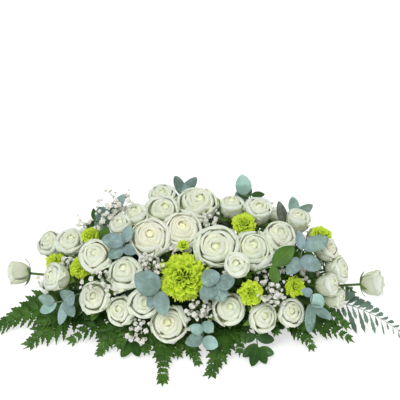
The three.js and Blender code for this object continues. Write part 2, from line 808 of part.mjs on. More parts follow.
function fern(name, row) {
  const places = [row.root, ...row.stalk].map(v3);
  const fork = places[places.length - 1];
  const parts = [];
  for (const frond of row.fronds) {
    parts.push(frondBody(fork, frond, BLADE));
    take(frondSamples(fork, frond), name);
  }
  parts.push(tube(places, SPRIG_RADIUS + 0.2, 4));
  take(alongPath(places, SPRIG_RADIUS), name);
  holes.push({ path: places, radius: SPRIG_RADIUS + 0.2, sides: 4 });
  return wasm.Manifold.union(parts);
}

// Tiny blossoms on thin stalks
function blossom(from, centre, size) {
  const along = frames([from, from.clone().lerp(centre, 0.99), centre]);
  const away = centre.clone().sub(from).normalize();
  const foot = { ...along[1], p: centre.clone().addScaledVector(away, -size * 0.7) };
  const rings = [ring(along[0], STALK_RADIUS, 3), ring(foot, STALK_RADIUS, 3), ring(along[2], size, 6)];
  return skin(rings, centre.clone().addScaledVector(away, size * 0.8));
}

function spray(name, row, seed) {
  const hub = v3(row.hub);
  const root = rootOf(hub);
  const outward = v3(row.toward).normalize();
  const end = hub.clone().addScaledVector(outward, row.spread * 0.5);
  const stem = (o) => [root, root.clone().lerp(hub, 0.5).add(o), hub, end];
  const offset = bendClear((o) => alongPath(stem(o), SPRIG_RADIUS), name, 1.3);
  const path = stem(offset);
  const parts = [tube(path, SPRIG_RADIUS, 4)];
  take(alongPath(path, SPRIG_RADIUS), name);
  holes.push({ path, radius: SPRIG_RADIUS, sides: 4 });
  const draw = draws(seed);
  const side = square(v3([1, 0.1, 0]), outward);
  const up = outward.clone().cross(side);
  const kin = [];
  for (let k = 0; k < 90 && kin.length < row.count; k++) {
    const turn = 2.4 * k;
    const slant = 0.25 + 1.1 * draw();
    const reach = row.spread * (0.4 + 0.6 * draw());
    const size = 3 + 1.4 * draw();
    const from = hub.clone().lerp(end, 0.95 * (kin.length / row.count));
    const centre = from.clone().addScaledVector(outward, reach * Math.cos(slant));
    centre.addScaledVector(side, reach * Math.sin(slant) * Math.cos(turn));
    centre.addScaledVector(up, reach * Math.sin(slant) * Math.sin(turn));
    const samples = [...alongPath([from, centre], STALK_RADIUS, 0.15), { p: centre, r: size }];
    if (crowding(samples, name)) continue;
    if (kin.some((o) => o.p.distanceTo(centre) < o.r + size + 2)) continue;
    parts.push(blossom(from, centre, size));
    take(samples, name);
    kin.push({ p: centre, r: size });
  }
  return wasm.Manifold.union(parts);
}

// Tray and foam
function block(long, deep, chamfer, z) {
  const x = long / 2;
  const y = deep / 2;
  const c = chamfer;
  const right = [[x, c - y], [x, y - c], [x - c, y]];
  const left = [[c - x, y], [-x, y - c], [-x, c - y]];
  const corners = [...right, ...left, [c - x, -y], [x - c, -y]];
  return corners.map((p) => v3([p[0], p[1], z]));
}

function tray() {
  const wide = TRAY_FLARE * 2;
  const inner = TRAY_WALL * 2;
  return skin([
    block(TRAY_LONG, TRAY_DEEP, TRAY_CHAMFER, 0),
    block(TRAY_LONG + wide, TRAY_DEEP + wide, TRAY_CHAMFER, TRAY_HIGH),
    block(TRAY_LONG + wide - inner, TRAY_DEEP + wide - inner, TRAY_CHAMFER - 1, TRAY_HIGH),
    block(TRAY_LONG - inner, TRAY_DEEP - inner, TRAY_CHAMFER - 1, TRAY_FLOOR),
  ]);
}

function foam() {
  const low = TRAY_FLOOR + SEAT_GAP;
  const whole = skin([
    block(FOAM_LONG, FOAM_DEEP, 12, low),
    block(FOAM_LONG, FOAM_DEEP, 12, low + FOAM_HIGH),
  ]);
  const cuts = holes.map((hole) => {
    const path = hole.path.map((p) => p.clone());
    const lead = path[0].clone().sub(path[1]).normalize();
    path[0].addScaledVector(lead, HOLE_GAP * 2);
    return tube(path, hole.radius + HOLE_GAP * (hole.sides > 4 ? 1.16 : 1.42), hole.sides);
  });
  return wasm.Manifold.difference([whole, ...cuts]);
}

// Colours of the pieces
const FINISH = {
  tray: { color: '#24462f', roughness: 0.5, metalness: 0 },
  foam: { color: '#3c6344', roughness: 0.95, metalness: 0 },
  rose: { color: '#f1eee2', roughness: 0.65, metalness: 0 },
  carnation: { color: '#b4c94a', roughness: 0.7, metalness: 0 },
  eucalyptus: { color: '#8ba296', roughness: 0.6, metalness: 0 },
  fern: { color: '#4c7a3c', roughness: 0.6, metalness: 0 },
  dusty: { color: '#8c9a86', roughness: 0.75, metalness: 0 },
  pittosporum: { color: '#2f5a36', roughness: 0.45, metalness: 0 },
  gypsophila: { color: '#f3f4ee', roughness: 0.7, metalness: 0 },
};

function show(group, name, whole, finish) {
  const mesh = whole.getMesh();
  const geometry = new THREE.BufferGeometry();
  geometry.setAttribute('position', new THREE.BufferAttribute(new Float32Array(mesh.vertProperties), 3));
  geometry.setIndex(new THREE.BufferAttribute(new Uint32Array(mesh.triVerts), 1));
  geometry.computeBoundingBox();
  const middle = geometry.boundingBox.getCenter(new THREE.Vector3()).round();
  geometry.translate(-middle.x, -middle.y, -middle.z);
  geometry.computeVertexNormals();
  const item = new THREE.Mesh(geometry, new THREE.MeshStandardMaterial(FINISH[finish]));
  item.name = name;
  item.position.copy(middle);
  group.add(item);
}

function headsFirst(table, shapeOf) {
  for (const [name, rows] of Object.entries(table)) {
    for (const row of rows) {
      const head = plan(row, shapeOf);
      take([{ p: head.at, r: head.size * 0.98 }], name);
    }
  }
}

function arrangement() {
  const whole = new THREE.Group();
  whole.name = 'flower_arrangement';
  const part = (name) => {
    const group = new THREE.Group();
    group.name = name;
    whole.add(group);
    return group;
  };
  const rose = (row) => roseRows(row.open, row.wide);
  const carnation = (row) => carnationRows(row.wide);
  headsFirst(ROSE_STEMS, rose);
  headsFirst(CARNATION_STEMS, carnation);

  const roses = part('roses');
  for (const [name, rows] of Object.entries(ROSE_STEMS)) {
    show(roses, name, flowerStem(name, rows, rose, ROSE_LEAVES[name]), 'rose');
  }
  const carnations = part('carnations');
  for (const [name, rows] of Object.entries(CARNATION_STEMS)) {
    show(carnations, name, flowerStem(name, rows, carnation), 'carnation');
  }
  const foliage = part('foliage');
  for (const [name, row] of Object.entries(FERNS)) show(foliage, name, fern(name, row), 'fern');
  show(foliage, 'dusty_fern', fern('dusty_fern', DUSTY_FERN), 'dusty');
  for (const [name, row] of Object.entries(PITTOSPORUM)) {
    show(foliage, name, sprig(name, row, ROUND), 'pittosporum');
  }
  for (const [name, row] of Object.entries(EUCALYPTUS)) {
    show(foliage, name, sprig(name, row, ROUND), 'eucalyptus');
  }
  const filler = part('filler');
  Object.entries(SPRAYS).forEach(([name, row], i) => {
    show(filler, name, spray(name, row, 11 + 7 * i), 'gypsophila');
  });
  const holder = part('holder');
  show(holder, 'foam', foam(), 'foam');
  show(holder, 'tray', tray(), 'tray');
  return whole;
}

export default arrangement();
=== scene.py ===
# Dressed model of a long table arrangement: roses, carnations, eucalyptus, fern and small
# white filler on wet foam in a tray. Sizes are millimetres until a piece is made.
import functools
import math

import bpy
import numpy as np
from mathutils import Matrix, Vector


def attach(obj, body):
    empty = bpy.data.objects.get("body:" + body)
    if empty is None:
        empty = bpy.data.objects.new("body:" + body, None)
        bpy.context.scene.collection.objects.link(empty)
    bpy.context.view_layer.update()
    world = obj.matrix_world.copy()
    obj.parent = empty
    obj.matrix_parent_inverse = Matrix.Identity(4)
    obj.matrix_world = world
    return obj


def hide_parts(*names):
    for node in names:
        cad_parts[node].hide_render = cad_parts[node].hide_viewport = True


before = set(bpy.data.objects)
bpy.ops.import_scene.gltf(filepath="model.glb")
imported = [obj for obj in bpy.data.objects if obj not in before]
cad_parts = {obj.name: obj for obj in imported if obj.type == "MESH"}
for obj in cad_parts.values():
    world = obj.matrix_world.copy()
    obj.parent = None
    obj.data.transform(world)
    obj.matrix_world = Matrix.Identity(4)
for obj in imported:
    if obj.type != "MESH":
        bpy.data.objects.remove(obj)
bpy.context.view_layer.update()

# Sizes of the solids that the finer pieces need too
FOAM_HIGH = 80
STEM_RADIUS = 2.2
BRANCH_RADIUS = 1.7
SPRIG_RADIUS = 1.2
STALK_RADIUS = 0.7
CLEAR = 1.0
LEAF_STEP = 3
HEAD_FILL = 1.08

# How the places of stems and leaves are tried, as for the solids: a ball for each step along a
# stem, the part of a head that counts, how often a bend is tried and how far it goes each time
SAMPLE_STEP = 5
HEAD_ROOM = 0.98
BEND_TRIES = 80
STEM_GAIN = 1.6
SPRIG_GAIN = 1.3
LEAF_GAIN = 1.2
SPRAY_TRIES = 90
DRAW_FACTOR = 1103515245.0
DRAW_STEP = 12345.0
DRAW_RANGE = 2147483648.0

# How far back from its blooms a stem forks, as a share of the way to its root
FORK_BACK = 0.36

# Where a stem ends in the foam, worked out from where its bloom stands
ROOT_ALONG = 0.5
ROOT_ACROSS = 0.25
ROOT_LOW = 46
ROOT_FROM = 40
ROOT_RISE = 0.12
ROOT_REACH_X = 136
ROOT_REACH_Y = 36

# Widths from which a bloom has more petals, from which a rose is a creamy one, and below which
# a carnation has fewer petals
FULL_ROSE = 50
HALF_ROSE = 40
CREAM_ROSE = 52
FULL_CARNATION = 50
SMALL_CARNATION = 24

# How much longer than a full bloom a closed bud is, and how far below its foot a head meets its
# stem, in head radii
BUD_LENGTH = 1.5
FOOT_DROP = 0.12

# The turn from one blossom or layer to the next, in radians
GOLDEN = 2.4

# The part of a frond without leaflets, the most from one pair to the next, and how low a leaflet
# may hang; then how many pairs the dusty frond has, how long they get and how low they may hang
FROND_BARE = 0.12
FROND_STEP = 14.5
FROND_LOW = 1.6
DUSTY_PAIRS = 15
DUSTY_LONG = 46
DUSTY_LOW = 2.5

# How thick petals, leaves, sepals and the leaflets of ferns are, and the share of that at a rim
PETAL = 0.5
LEAF = 0.6
SEPAL = 0.8
LEAFLET = 0.5
RIM = 0.4

# Leaves turn their faces to the front, or to the back, and a little up
FRONT = (0, -0.87, 0.5)
BACK = (0, 0.87, 0.5)

# What each point of a piece is marked with, and the marks of stalks
MARKS = ("along", "across", "layer", "chance")
STEM_MARK = (0.5, 0.0, 0.0, 0.5)
STALK_MARK = (0.5, 0, 0.4, 0.5)
FERN_MARK = (0.2, 0, 0.9, 0.5)

# The camera stands in front, a little above, with a long lens; the picture is square
PICTURE = 400
SENSOR = 36
LENS = 103
DOWN = 26.15
CAMERA_AT = (0, -1732, 1070)

# What the collar of dark leaves round the foam has: its leaves, the draws for them, how far out
# from the middle of the foam they stand, and how far their tips may go
COLLAR_LEAVES = 300
COLLAR_DRAWS = 4600
COLLAR_HALF_X = 150
COLLAR_HALF_Y = 52
COLLAR_REACH_X = 245
COLLAR_REACH_Y = 132
COLLAR_LOW = 6
COLLAR_HIGH = 165

# Leaves on the stems stay in a dome below the blooms
STEM_ROUNDS = 9
STEM_LEAF_X = 250
STEM_LEAF_Y = 150
STEM_LEAF_LOW = 12
DOME_HIGH = 205
DOME_HALF_X = 300
DOME_HALF_Y = 165

# How far a stalk that is only in the scene may bend to find its way, how far behind the blooms
# one with more filler on it ends, and how many places are tried for each of its blossoms
STALK_BEND = 20
FILLER_BEHIND = 28
FILLER_TRIES = 14


def named(kind, items):
    """Items by the names of their nodes: kind_01 and on."""
    return {"%s_%02d" % (kind, i): item for i, item in enumerate(items, 1)}


# Rose heads by stem: the middle of the head, its width, its turn to the right seen from the
# front, its lift above level, and 0 for a bud to 1 for full bloom
ROSE_STEMS = named("rose_stem", [
    [((-316, -5, 81), 40, -85, 5, 0.4)],
    [((-262, 24, 123), 41, -50, 50, 0.7), ((-222, -12, 147), 43, -20, 60, 0.8)],
    [((-241, -68, 109), 43, -60, 30, 0.5)],
    [((-174, -77, 155), 48, -20, 40, 0.9)],
    [((-122, -102, 136), 49, -20, 52, 0.8)],
    [((-175, -106, 92), 46, -27, 38, 0.8)],
    [((-130, -119, 74), 44, -32, 30, 0.7), ((-92, -132, 97), 44, -5, 30, 0.7)],
    [((-51, -138, 61), 52, -8, 26, 0.9)],
    [((-131, -38, 189), 36, -30, 60, 0.4), ((-107, -8, 194), 39, -25, 60, 0.5)],
    [((-83, -63, 180), 58, -12, 47, 1)],
    [((-65, 11, 194), 49, -10, 60, 0.8), ((-66, 62, 196), 44, -20, 75, 0.6)],
    [((-5, 37, 197), 60, 3, 70, 1)],
    [((-27, -49, 187), 54, 10, 50, 0.9)],
    [((28, -82, 177), 62, 0, 54, 1)],
    [((89, -70, 162), 58, 8, 48, 1)],
    [((59, -121, 161), 39, -5, 40, 0.6)],
    [((98, 5, 194), 44, 20, 75, 0.4), ((55, 15, 199), 40, 0, 80, 0.5)],
    [((134, -45, 174), 48, 30, 55, 0.8), ((165, 2, 176), 39, 40, 70, 0.3)],
    [((213, -46, 149), 36, 60, 45, 0.5), ((233, -50, 114), 42, 70, 25, 0.6),
     ((211, -90, 107), 36, 60, 20, 0.4), ((225, -79, 75), 33, 60, 5, 0.3)],
    [((301, -8, 62), 41, 85, 8, 0.4)],
    [((47, -131, 84), 47, 14, 27, 0.9)],
    [((104, -130, 67), 43, 30, 25, 0.8), ((150, -118, 70), 42, 36, 30, 0.7)],
    [((-200, 80, 114), 48, -145, 35, 0.8), ((-112, 106, 130), 54, -165, 40, 1)],
    [((-32, 122, 124), 54, 180, 35, 1), ((58, 114, 132), 52, 172, 40, 0.9)],
    [((138, 104, 133), 52, 160, 30, 0.9), ((214, 74, 104), 46, 140, 30, 0.7)],
])

# Carnation heads by stem, measured the same way
CARNATION_STEMS = named("carnation_stem", [
    [((-27, -117, 137), 74, 0, 35), ((-27, -89, 181), 20, 0, 70)],
    [((74, -30, 190), 38, 5, 65)],
    [((83, -129, 114), 40, 10, 30)],
    [((157, -104, 112), 32, 30, 30)],
    [((206, -10, 155), 38, 40, 60)],
    [((-247, -28, 115), 33, -50, 50), ((-200, -58, 122), 35, -30, 40),
     ((-185, -26, 166), 30, -30, 65)],
    [((18, 86, 171), 42, 175, 60), ((96, 78, 164), 40, 165, 60)],
])

# Plain green leaves that grow from a rose stem: the places that their bent stalk passes, and a
# tip and a width for each blade at its end
ROSE_LEAVES = {
    "rose_stem_16": ([(50, -80, 115), (88, -103, 138), (118, -113, 157)],
                    [((153, -96, 183), 28), ((124, -130, 130), 18)]),
    "rose_stem_04": ([(-132, -42, 115), (-156, -44, 148), (-165, -48, 168)],
                    [((-152, -46, 192), 18)]),
}

# Eucalyptus sprigs: the places that a sprig passes after it leaves the foam, then its leaves,
# each with the number of its place, its tip, its width, and its tone where that isn't drawn
EUCALYPTUS = named("eucalyptus", [
    ([(-150, -5, 160), (-156, -5, 178), (-152, 3, 188)],
     [(1, (-171, -6, 210), 26), (1, (-200, -10, 164), 19), (2, (-128, 8, 227), 18)]),
    ([(-126, -66, 160), (-125, -76, 174), (-123, -82, 185)],
     [(1, (-150, -90, 158), 21), (1, (-103, -92, 168), 18), (2, (-161, -79, 187), 25),
      (2, (-112, -66, 206), 18)]),
    ([(-72, -112, 116), (-66, -140, 124)],
     [(1, (-92, -136, 156), 40), (1, (-50, -160, 98), 26), (1, (-84, -160, 106), 20)]),
    ([(28, -110, 123), (24, -142, 137)],
     [(1, (8, -140, 165), 30), (1, (56, -140, 146), 26), (1, (38, -152, 112), 27),
      (1, (-4, -158, 124), 26)]),
    ([(2, -110, 60), (5, -150, 52), (4, -160, 44)],
     [(1, (-17, -166, 75), 19, 1.0), (1, (21, -160, 77), 21, 1.0), (2, (29, -170, 38), 23, 0.9),
      (2, (-24, -172, 46), 22)]),
    ([(77, 34, 180), (77, 35, 192), (77, 36, 213)],
     [(1, (60, 38, 214), 24), (1, (106, 38, 206), 19), (2, (71, 38, 250), 27, 1.0)]),
    ([(148, 24, 160), (166, 30, 176)],
     [(0, (134, 20, 208), 17, 2.0), (1, (158, 30, 212), 19, 1.0), (1, (194, 30, 196), 18)]),
    ([(165, -74, 142), (164, -94, 160), (168, -90, 178)],
     [(1, (198, -108, 148), 26), (1, (140, -124, 147), 23), (2, (212, -68, 182), 26),
      (2, (160, -84, 206), 16)]),
    ([(182, -98, 92), (184, -122, 108), (180, -132, 92)],
     [(1, (200, -134, 90), 22, 1.0), (1, (164, -134, 124), 15), (2, (216, -140, 72), 16),
      (2, (180, -140, 44), 18)]),
    ([(-205, -80, 84), (-226, -108, 86), (-242, -108, 84)],
     [(1, (-206, -122, 112), 30), (1, (-208, -124, 66), 18), (1, (-232, -124, 50), 16),
      (2, (-268, -100, 90), 17), (2, (-266, -104, 62), 18, 1.0)]),
    ([(-36, 82, 176), (-30, 80, 194)],
     [(0, (-62, 96, 200), 19), (1, (-6, 82, 224), 22), (1, (-44, 92, 222), 20)]),
])
EUCALYPTUS_AT_BACK = "eucalyptus_11"

# Low sprigs of rounded dark leaves: where each one stands in the foam, then the same again
PITTOSPORUM = named("pittosporum", [
    ((-76, -32, 35), [(-88, -76, 33), (-106, -112, 24), (-116, -126, 12)],
     [(1, (-132, -100, 24), 17), (1, (-86, -122, 16), 16), (1, (-72, -126, 10), 14),
      (2, (-142, -124, 12), 17), (2, (-130, -156, 8), 17), (2, (-100, -154, 8), 17)]),
    ((84, -32, 35), [(88, -76, 33), (94, -124, 26), (96, -144, 14)],
     [(1, (124, -124, 20), 17), (1, (68, -126, 22), 16), (2, (122, -152, 12), 17),
      (2, (108, -174, 7), 17), (2, (84, -180, 6), 18), (2, (70, -158, 10), 16)]),
])

# Ferns: where the stalk stands in the foam, the place over the rim where its fronds part, and
# the fronds, each with the place that it bends over at, its tip, the reach of its longest
# leaflets, and the part of it without any where that isn't FROND_BARE
FERNS = named("fern", [
    ((-126, -16, 35), (-182, -22, 34),
     [((-262, -26, 44), (-344, -64, 8), 42), ((-226, -64, 38), (-284, -112, 5), 34, 0.3)]),
    ((-112, -30, 35), (-132, -76, 34),
     [((-170, -84, 36), (-214, -104, 8), 27), ((-146, -104, 30), (-166, -138, 5), 22, 0.3)]),
    ((-44, -30, 35), (-52, -76, 34),
     [((-60, -112, 20), (-60, -216, 4), 25), ((-24, -104, 22), (-4, -166, 5), 20, 0.3)]),
    ((40, -30, 35), (42, -76, 34), [((46, -118, 32), (18, -196, 5), 29)]),
    ((124, -30, 35), (144, -76, 34),
     [((164, -88, 34), (186, -124, 8), 22), ((190, -72, 38), (250, -98, 8), 26, 0.32)]),
    ((-60, 30, 35), (-80, 76, 34),
     [((-90, 112, 42), (-100, 190, 6), 34), ((-140, 88, 46), (-216, 128, 8), 30, 0.3)]),
    ((70, 30, 35), (84, 76, 34),
     [((80, 112, 42), (62, 190, 6), 34), ((146, 88, 46), (214, 132, 8), 30, 0.3)]),
])
DUSTY_FERN = ((124, -14, 36), (180, -24, 34), [((260, -42, 60), (342, -84, 10), 32)])

# Short fern pieces between the long fronds
MORE_FRONDS = [
    ((-196, -62, 58), (-262, -84, 30), 24), ((-112, -88, 52), (-132, -138, 22), 24),
    ((-80, -90, 46), (-90, -142, 14), 24), ((-52, -94, 44), (-64, -152, 12), 20),
    ((-30, -92, 42), (-36, -148, 10), 22), ((16, -90, 44), (24, -140, 12), 22),
    ((72, -90, 48), (66, -144, 14), 22), ((108, -88, 54), (126, -122, 36), 20),
    ((146, -82, 56), (172, -112, 40), 20), ((196, -64, 56), (246, -84, 26), 24),
    ((-210, 20, 48), (-272, 44, 16), 26), ((210, 20, 48), (272, 44, 16), 26),
    ((-20, 104, 44), (-22, 158, 12), 26), ((140, 96, 44), (156, 146, 14), 26),
    ((-170, 84, 44), (-176, 142, 14), 26),
]

# Sprays of tiny white blossoms: the place that each one fans out from, its way, how far it
# goes, how many blossoms it has, and how far its stalk may bend where that has a limit
SPRAYS = named("gypsophila", [
    ((-136, 30, 172), (-0.25, -0.2, 1), 40, 8),
    ((-150, -100, 118), (-0.3, -0.8, 0.5), 42, 8),
    ((-78, -102, 146), (0, -0.7, 0.7), 38, 8),
    ((0, -134, 94), (0, -1, 0.1), 34, 8),
    ((112, -112, 110), (0, -0.95, 0.2), 36, 8),
])

# The same filler at the back and ends
MORE_SPRAYS = [
    ((-150, 92, 108), (-0.2, 0.9, 0.4), 38, 9, 20),
    ((-70, 104, 118), (0, 0.9, 0.4), 38, 9, 20),
    ((10, 108, 112), (0, 0.9, 0.3), 38, 9, 20),
    ((86, 104, 116), (0, 0.9, 0.4), 38, 9, 20),
    ((156, 88, 100), (0.2, 0.9, 0.3), 36, 9, 20),
    ((-206, 48, 70), (-0.8, 0.6, 0.2), 30, 7, 20),
    ((206, 48, 70), (0.8, 0.6, 0.2), 30, 7, 20),
]

# More filler between the blooms, by place in the picture: left, right, top, bottom and number
FILLER = [
    (98, 130, 200, 232, 34), (78, 97, 220, 234, 9), (40, 52, 284, 293, 5),
    (63, 76, 257, 267, 5), (98, 122, 262, 298, 18), (138, 162, 255, 274, 14),
    (168, 190, 246, 257, 6), (200, 216, 214, 226, 7), (188, 216, 296, 332, 18),
    (256, 292, 260, 310, 30), (122, 148, 320, 344, 10), (300, 308, 236, 244, 4),
    (296, 318, 268, 282, 5), (222, 240, 268, 284, 4), (205, 214, 258, 266, 3),
    (150, 160, 284, 300, 4),
]

# Leaves deep between the blooms, where the ground would show through, by place in the picture:
# how far behind the blooms they are and how long
BACKING = [(259, 230, 30, 30), (299, 248, 26, 24), (251, 195, 26, 24), (218, 209, 30, 22),
           (95, 221, 24, 22)]


# Vectors
def v3(p):
    return np.array(p, float)


def unit(p):
    return p / np.linalg.norm(p)


def square(vector, axis):
    return unit(vector - np.dot(vector, axis) * axis)


def aim(yaw, pitch):
    a = math.radians(yaw)
    b = math.radians(pitch)
    return v3([math.sin(a) * math.cos(b), -math.cos(a) * math.cos(b), math.sin(b)])


def curve(a, b, c, t):
    s = 1 - t
    return a * (s * s) + b * (2 * s * t) + c * (t * t)


def lerp(a, b, t):
    return a + (b - a) * t


def draws(seed):
    """The draws that the solids use too, from 0 to 1."""
    state = float(seed)

    def draw():
        nonlocal state
        state = math.fmod(state * DRAW_FACTOR + DRAW_STEP, DRAW_RANGE)
        return state / DRAW_RANGE

    return draw


# Places already taken, in the same order as the solids take them
class Room:
    """Balls of space, each with its owner."""

    def __init__(self):
        self.p = np.zeros((0, 3))
        self.r = np.zeros(0)
        self.owner = np.zeros(0, dtype=object)

    def take(self, samples, owner):
        self.p = np.concatenate([self.p, [s[0] for s in samples]])
        self.r = np.concatenate([self.r, [s[1] for s in samples]])
        self.owner = np.concatenate([self.owner, np.array([owner] * len(samples), dtype=object)])

    def crowding(self, samples, owner):
        """How deep the samples are in another owner's place, and the way out of it."""
        other = self.owner != owner
        if not other.any():
            return None
        p = np.array([s[0] for s in samples])
        r = np.array([s[1] for s in samples])
        away = p[:, None] - self.p[other][None]
        far = np.sqrt((away ** 2).sum(-1))
        depth = r[:, None] + self.r[other][None] + CLEAR - far
        k = int(np.argmax(depth))
        i, j = divmod(k, depth.shape[1])
        if depth[i, j] <= 0:
            return None
        return depth[i, j], away[i, j] / max(far[i, j], 1e-9)

    def bend_clear(self, samples_at, owner, gain, most=None):
        """The offset that clears a bend of all the others, or comes near that."""
        offset = np.zeros(3)
        for _ in range(BEND_TRIES):
            worst = self.crowding(samples_at(offset), owner)
            if not worst:
                break
            offset = offset + worst[1] * ((worst[0] + 0.2) * gain)
        if most:
            offset = offset * min(1, most / max(np.linalg.norm(offset), 1e-9))
        return offset


room = Room()


def along_path(path, radius, start=0):
    """Balls along a path, from the start-th of its places on."""
    samples = []
    for i in range(len(path) - 1):
        span = np.linalg.norm(path[i + 1] - path[i])
        steps = max(1, math.ceil(span / SAMPLE_STEP))
        for k in range(steps):
            if i + k / steps >= start:
                samples.append((lerp(path[i], path[i + 1], k / steps), radius))
    samples.append((path[-1].copy(), radius))
    return samples


def bent(path_of, radius, name, gain, most=None):
    """A path that is bent clear of what stands in its way and then takes its own place."""
    path = path_of(room.bend_clear(lambda o: along_path(path_of(o), radius), name, gain, most))
    room.take(along_path(path, radius), name)
    return path


# Mesh code
def placed(name, data):
    obj = bpy.data.objects.new(name, data)
    bpy.context.scene.collection.objects.link(obj)
    return obj


class Bag:
    """Gathers the faces of one piece. Each point is marked with how far along and across its
    petal or leaf it lies, its layer in the flower, and its petal's own chance value."""

    def __init__(self):
        self.points = []
        self.faces = []
        self.marks = []
        self.count = 0

    def add(self, points, faces, marks):
        points = np.asarray(points, float)
        marks = np.broadcast_to(np.asarray(marks, float), (len(points), 4))
        self.points.append(points)
        self.marks.append(marks)
        for f in faces:
            self.faces.append(np.asarray(f) + self.count)
        self.count += len(points)

    def piece(self, name, slot, material, *nodes):
        mesh = bpy.data.meshes.new(name)
        points = np.concatenate(self.points) / 1000
        loops = np.concatenate([f.ravel() for f in self.faces])
        sizes = np.concatenate([np.full(len(f), f.shape[1]) for f in self.faces])
        starts = np.concatenate([[0], np.cumsum(sizes)[:-1]])
        mesh.vertices.add(len(points))
        mesh.vertices.foreach_set("co", points.astype(np.float32).ravel())
        mesh.loops.add(len(loops))
        mesh.loops.foreach_set("vertex_index", loops.astype(np.int32))
        mesh.polygons.add(len(sizes))
        mesh.polygons.foreach_set("loop_start", starts.astype(np.int32))
        mesh.polygons.foreach_set("use_smooth", np.ones(len(sizes), bool))
        marks = np.concatenate(self.marks).astype(np.float32)
        for i, mark in enumerate(MARKS):
            attribute = mesh.attributes.new(mark, "FLOAT", "POINT")
            attribute.data.foreach_set("value", marks[:, i].copy())
        mesh.update(calc_edges=True)
        mesh.validate()
        mesh.materials.append(material)
        obj = placed(name, mesh)
        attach(obj, "root")
        if nodes:
            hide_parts(*nodes)


@functools.lru_cache(maxsize=None)
def grid_faces(m, n):
    """Quads of a closed sheet of m by n points: its face, its back and its rim."""
    i = np.arange(m * n).reshape(m, n)
    top = np.stack([i[:-1, :-1], i[1:, :-1], i[1:, 1:], i[:-1, 1:]], -1).reshape(-1, 4)
    under = top[:, ::-1] + m * n
    loop = np.concatenate([i[:, 0], i[-1, 1:], i[-2::-1, -1], i[0, -2:0:-1]])
    after = np.roll(loop, -1)
    rim = np.stack([loop, loop + m * n, after + m * n, after], -1)
    return np.concatenate([top, under, rim])


def grid(m, n):
    """Values across, -1 to 1, and along, 0 to 1, for sheets of m by n points."""
    return np.linspace(-1, 1, m)[None, :, None], np.linspace(0, 1, n)[None, None, :]


def sheets(bag, points, s, t, layer, chance, thick):
    """Several closed sheets at once: points is sheet, across, along, xyz. Across is taken the other
    way round, so that the faces look along the normal of a leaf and out of a bloom."""
    k, m, n, _ = points.shape
    marks = np.stack([np.broadcast_to(x, (k, m, n)) for x in (t, -s, layer, chance)], -1)
    marks = marks.reshape(k, -1, 4)
    points = points[:, ::-1]
    normal = np.cross(np.gradient(points, axis=1), np.gradient(points, axis=2))
    normal /= np.linalg.norm(normal, axis=-1, keepdims=True) + 1e-12
    full = np.full((m, n), 1.0)
    full[[0, -1], :] = RIM
    full[:, -1] = RIM
    step = normal * (full * thick / 2)[None, :, :, None]
    both = np.concatenate([(points + way).reshape(k, -1, 3) for way in (step, -step)], 1)
    faces = grid_faces(m, n)[None] + (np.arange(k) * 2 * m * n)[:, None, None]
    marks = np.concatenate([marks, marks], 1).reshape(-1, 4)
    bag.add(both.reshape(-1, 3), [faces.reshape(-1, 4)], marks)


def frames(path):
    """Each place of a path with its direction and two more at right angles to it."""
    side = None
    for i, p in enumerate(path):
        tangent = unit(path[min(i + 1, len(path) - 1)] - path[max(i - 1, 0)])
        hint = side if side is not None else v3([0, 0, 1] if abs(tangent[2]) < 0.9 else [1, 0, 0])
        side = square(hint, tangent)
        yield p, tangent, side, np.cross(tangent, side)


def tube(bag, path, radii, sides, mark=STEM_MARK):
    """Closed tube along a path, one radius for each point or one for all."""
    radii = np.broadcast_to(radii, len(path))
    turn = 2 * math.pi * np.arange(sides) / sides
    points = []
    for (p, _, side, up), r in zip(frames(path), radii):
        points.append(p + r * (np.cos(turn)[:, None] * side + np.sin(turn)[:, None] * up))
    n = len(path)
    i = np.arange(sides)
    j = (i + 1) % sides
    belt = np.stack([i, j, sides + j, sides + i], -1)
    quads = [belt + a * sides for a in range(n - 1)]
    foot = np.stack([j, i, np.full(sides, n * sides)], -1)
    top = np.stack([(n - 1) * sides + i, (n - 1) * sides + j, np.full(sides, n * sides + 1)], -1)
    points = np.concatenate([*points, [path[0]], [path[-1]]])
    bag.add(points, [np.concatenate(quads), foot, top], mark)


def rounded(path, reach=9):
    """The path with its corners taken round."""
    out = [path[0]]
    for a, b, c in zip(path, path[1:], path[2:]):
        back = min(reach, np.linalg.norm(a - b) * 0.45)
        ahead = min(reach, np.linalg.norm(c - b) * 0.45)
        first = b + unit(a - b) * back
        last = b + unit(c - b) * ahead
        out += [curve(first, b, last, t) for t in (0, 0.33, 0.67, 1)]
    out.append(path[-1])
    return out


def slivers(bag, base, axis, normal, half, thick, marks):
    """Many small closed leaflets, each a low lens: base, axis and normal are xyz rows."""
    axis = np.asarray(axis, float)
    long = np.linalg.norm(axis, axis=1, keepdims=True)
    a = axis / long
    side = np.cross(normal, a)
    side /= np.linalg.norm(side, axis=1, keepdims=True) + 1e-12
    up = np.cross(a, side)
    outline = [(0, 0), (0.2, 0.74), (0.5, 1), (0.8, 0.62), (1, 0), (0.8, -0.62), (0.5, -1),
               (0.2, -0.74)]
    half = np.broadcast_to(half, len(base))[:, None]
    rows = [base + a * long * t + side * half * s - up * (0.25 * abs(s) * half) for t, s in outline]
    middle = base + a * long * 0.48
    rows += [middle + up * thick / 2, middle - up * thick / 2]
    outline += [(0.48, 0), (0.48, 0)]
    points = np.stack(rows, 1)
    i = np.arange(8)
    j = (i + 1) % 8
    faces = np.stack([j, i, np.full(8, 8)], -1), np.stack([i, j, np.full(8, 9)], -1)
    faces = np.concatenate(faces)[None] + (np.arange(len(base)) * 10)[:, None, None]
    marks = np.broadcast_to(np.asarray(marks, float), (len(base), 4))
    marks = np.repeat(marks[:, None], 10, 1).copy()
    marks[:, :, :2] = np.array(outline)
    bag.add(points.reshape(-1, 3), [faces.reshape(-1, 3)], marks.reshape(-1, 4))


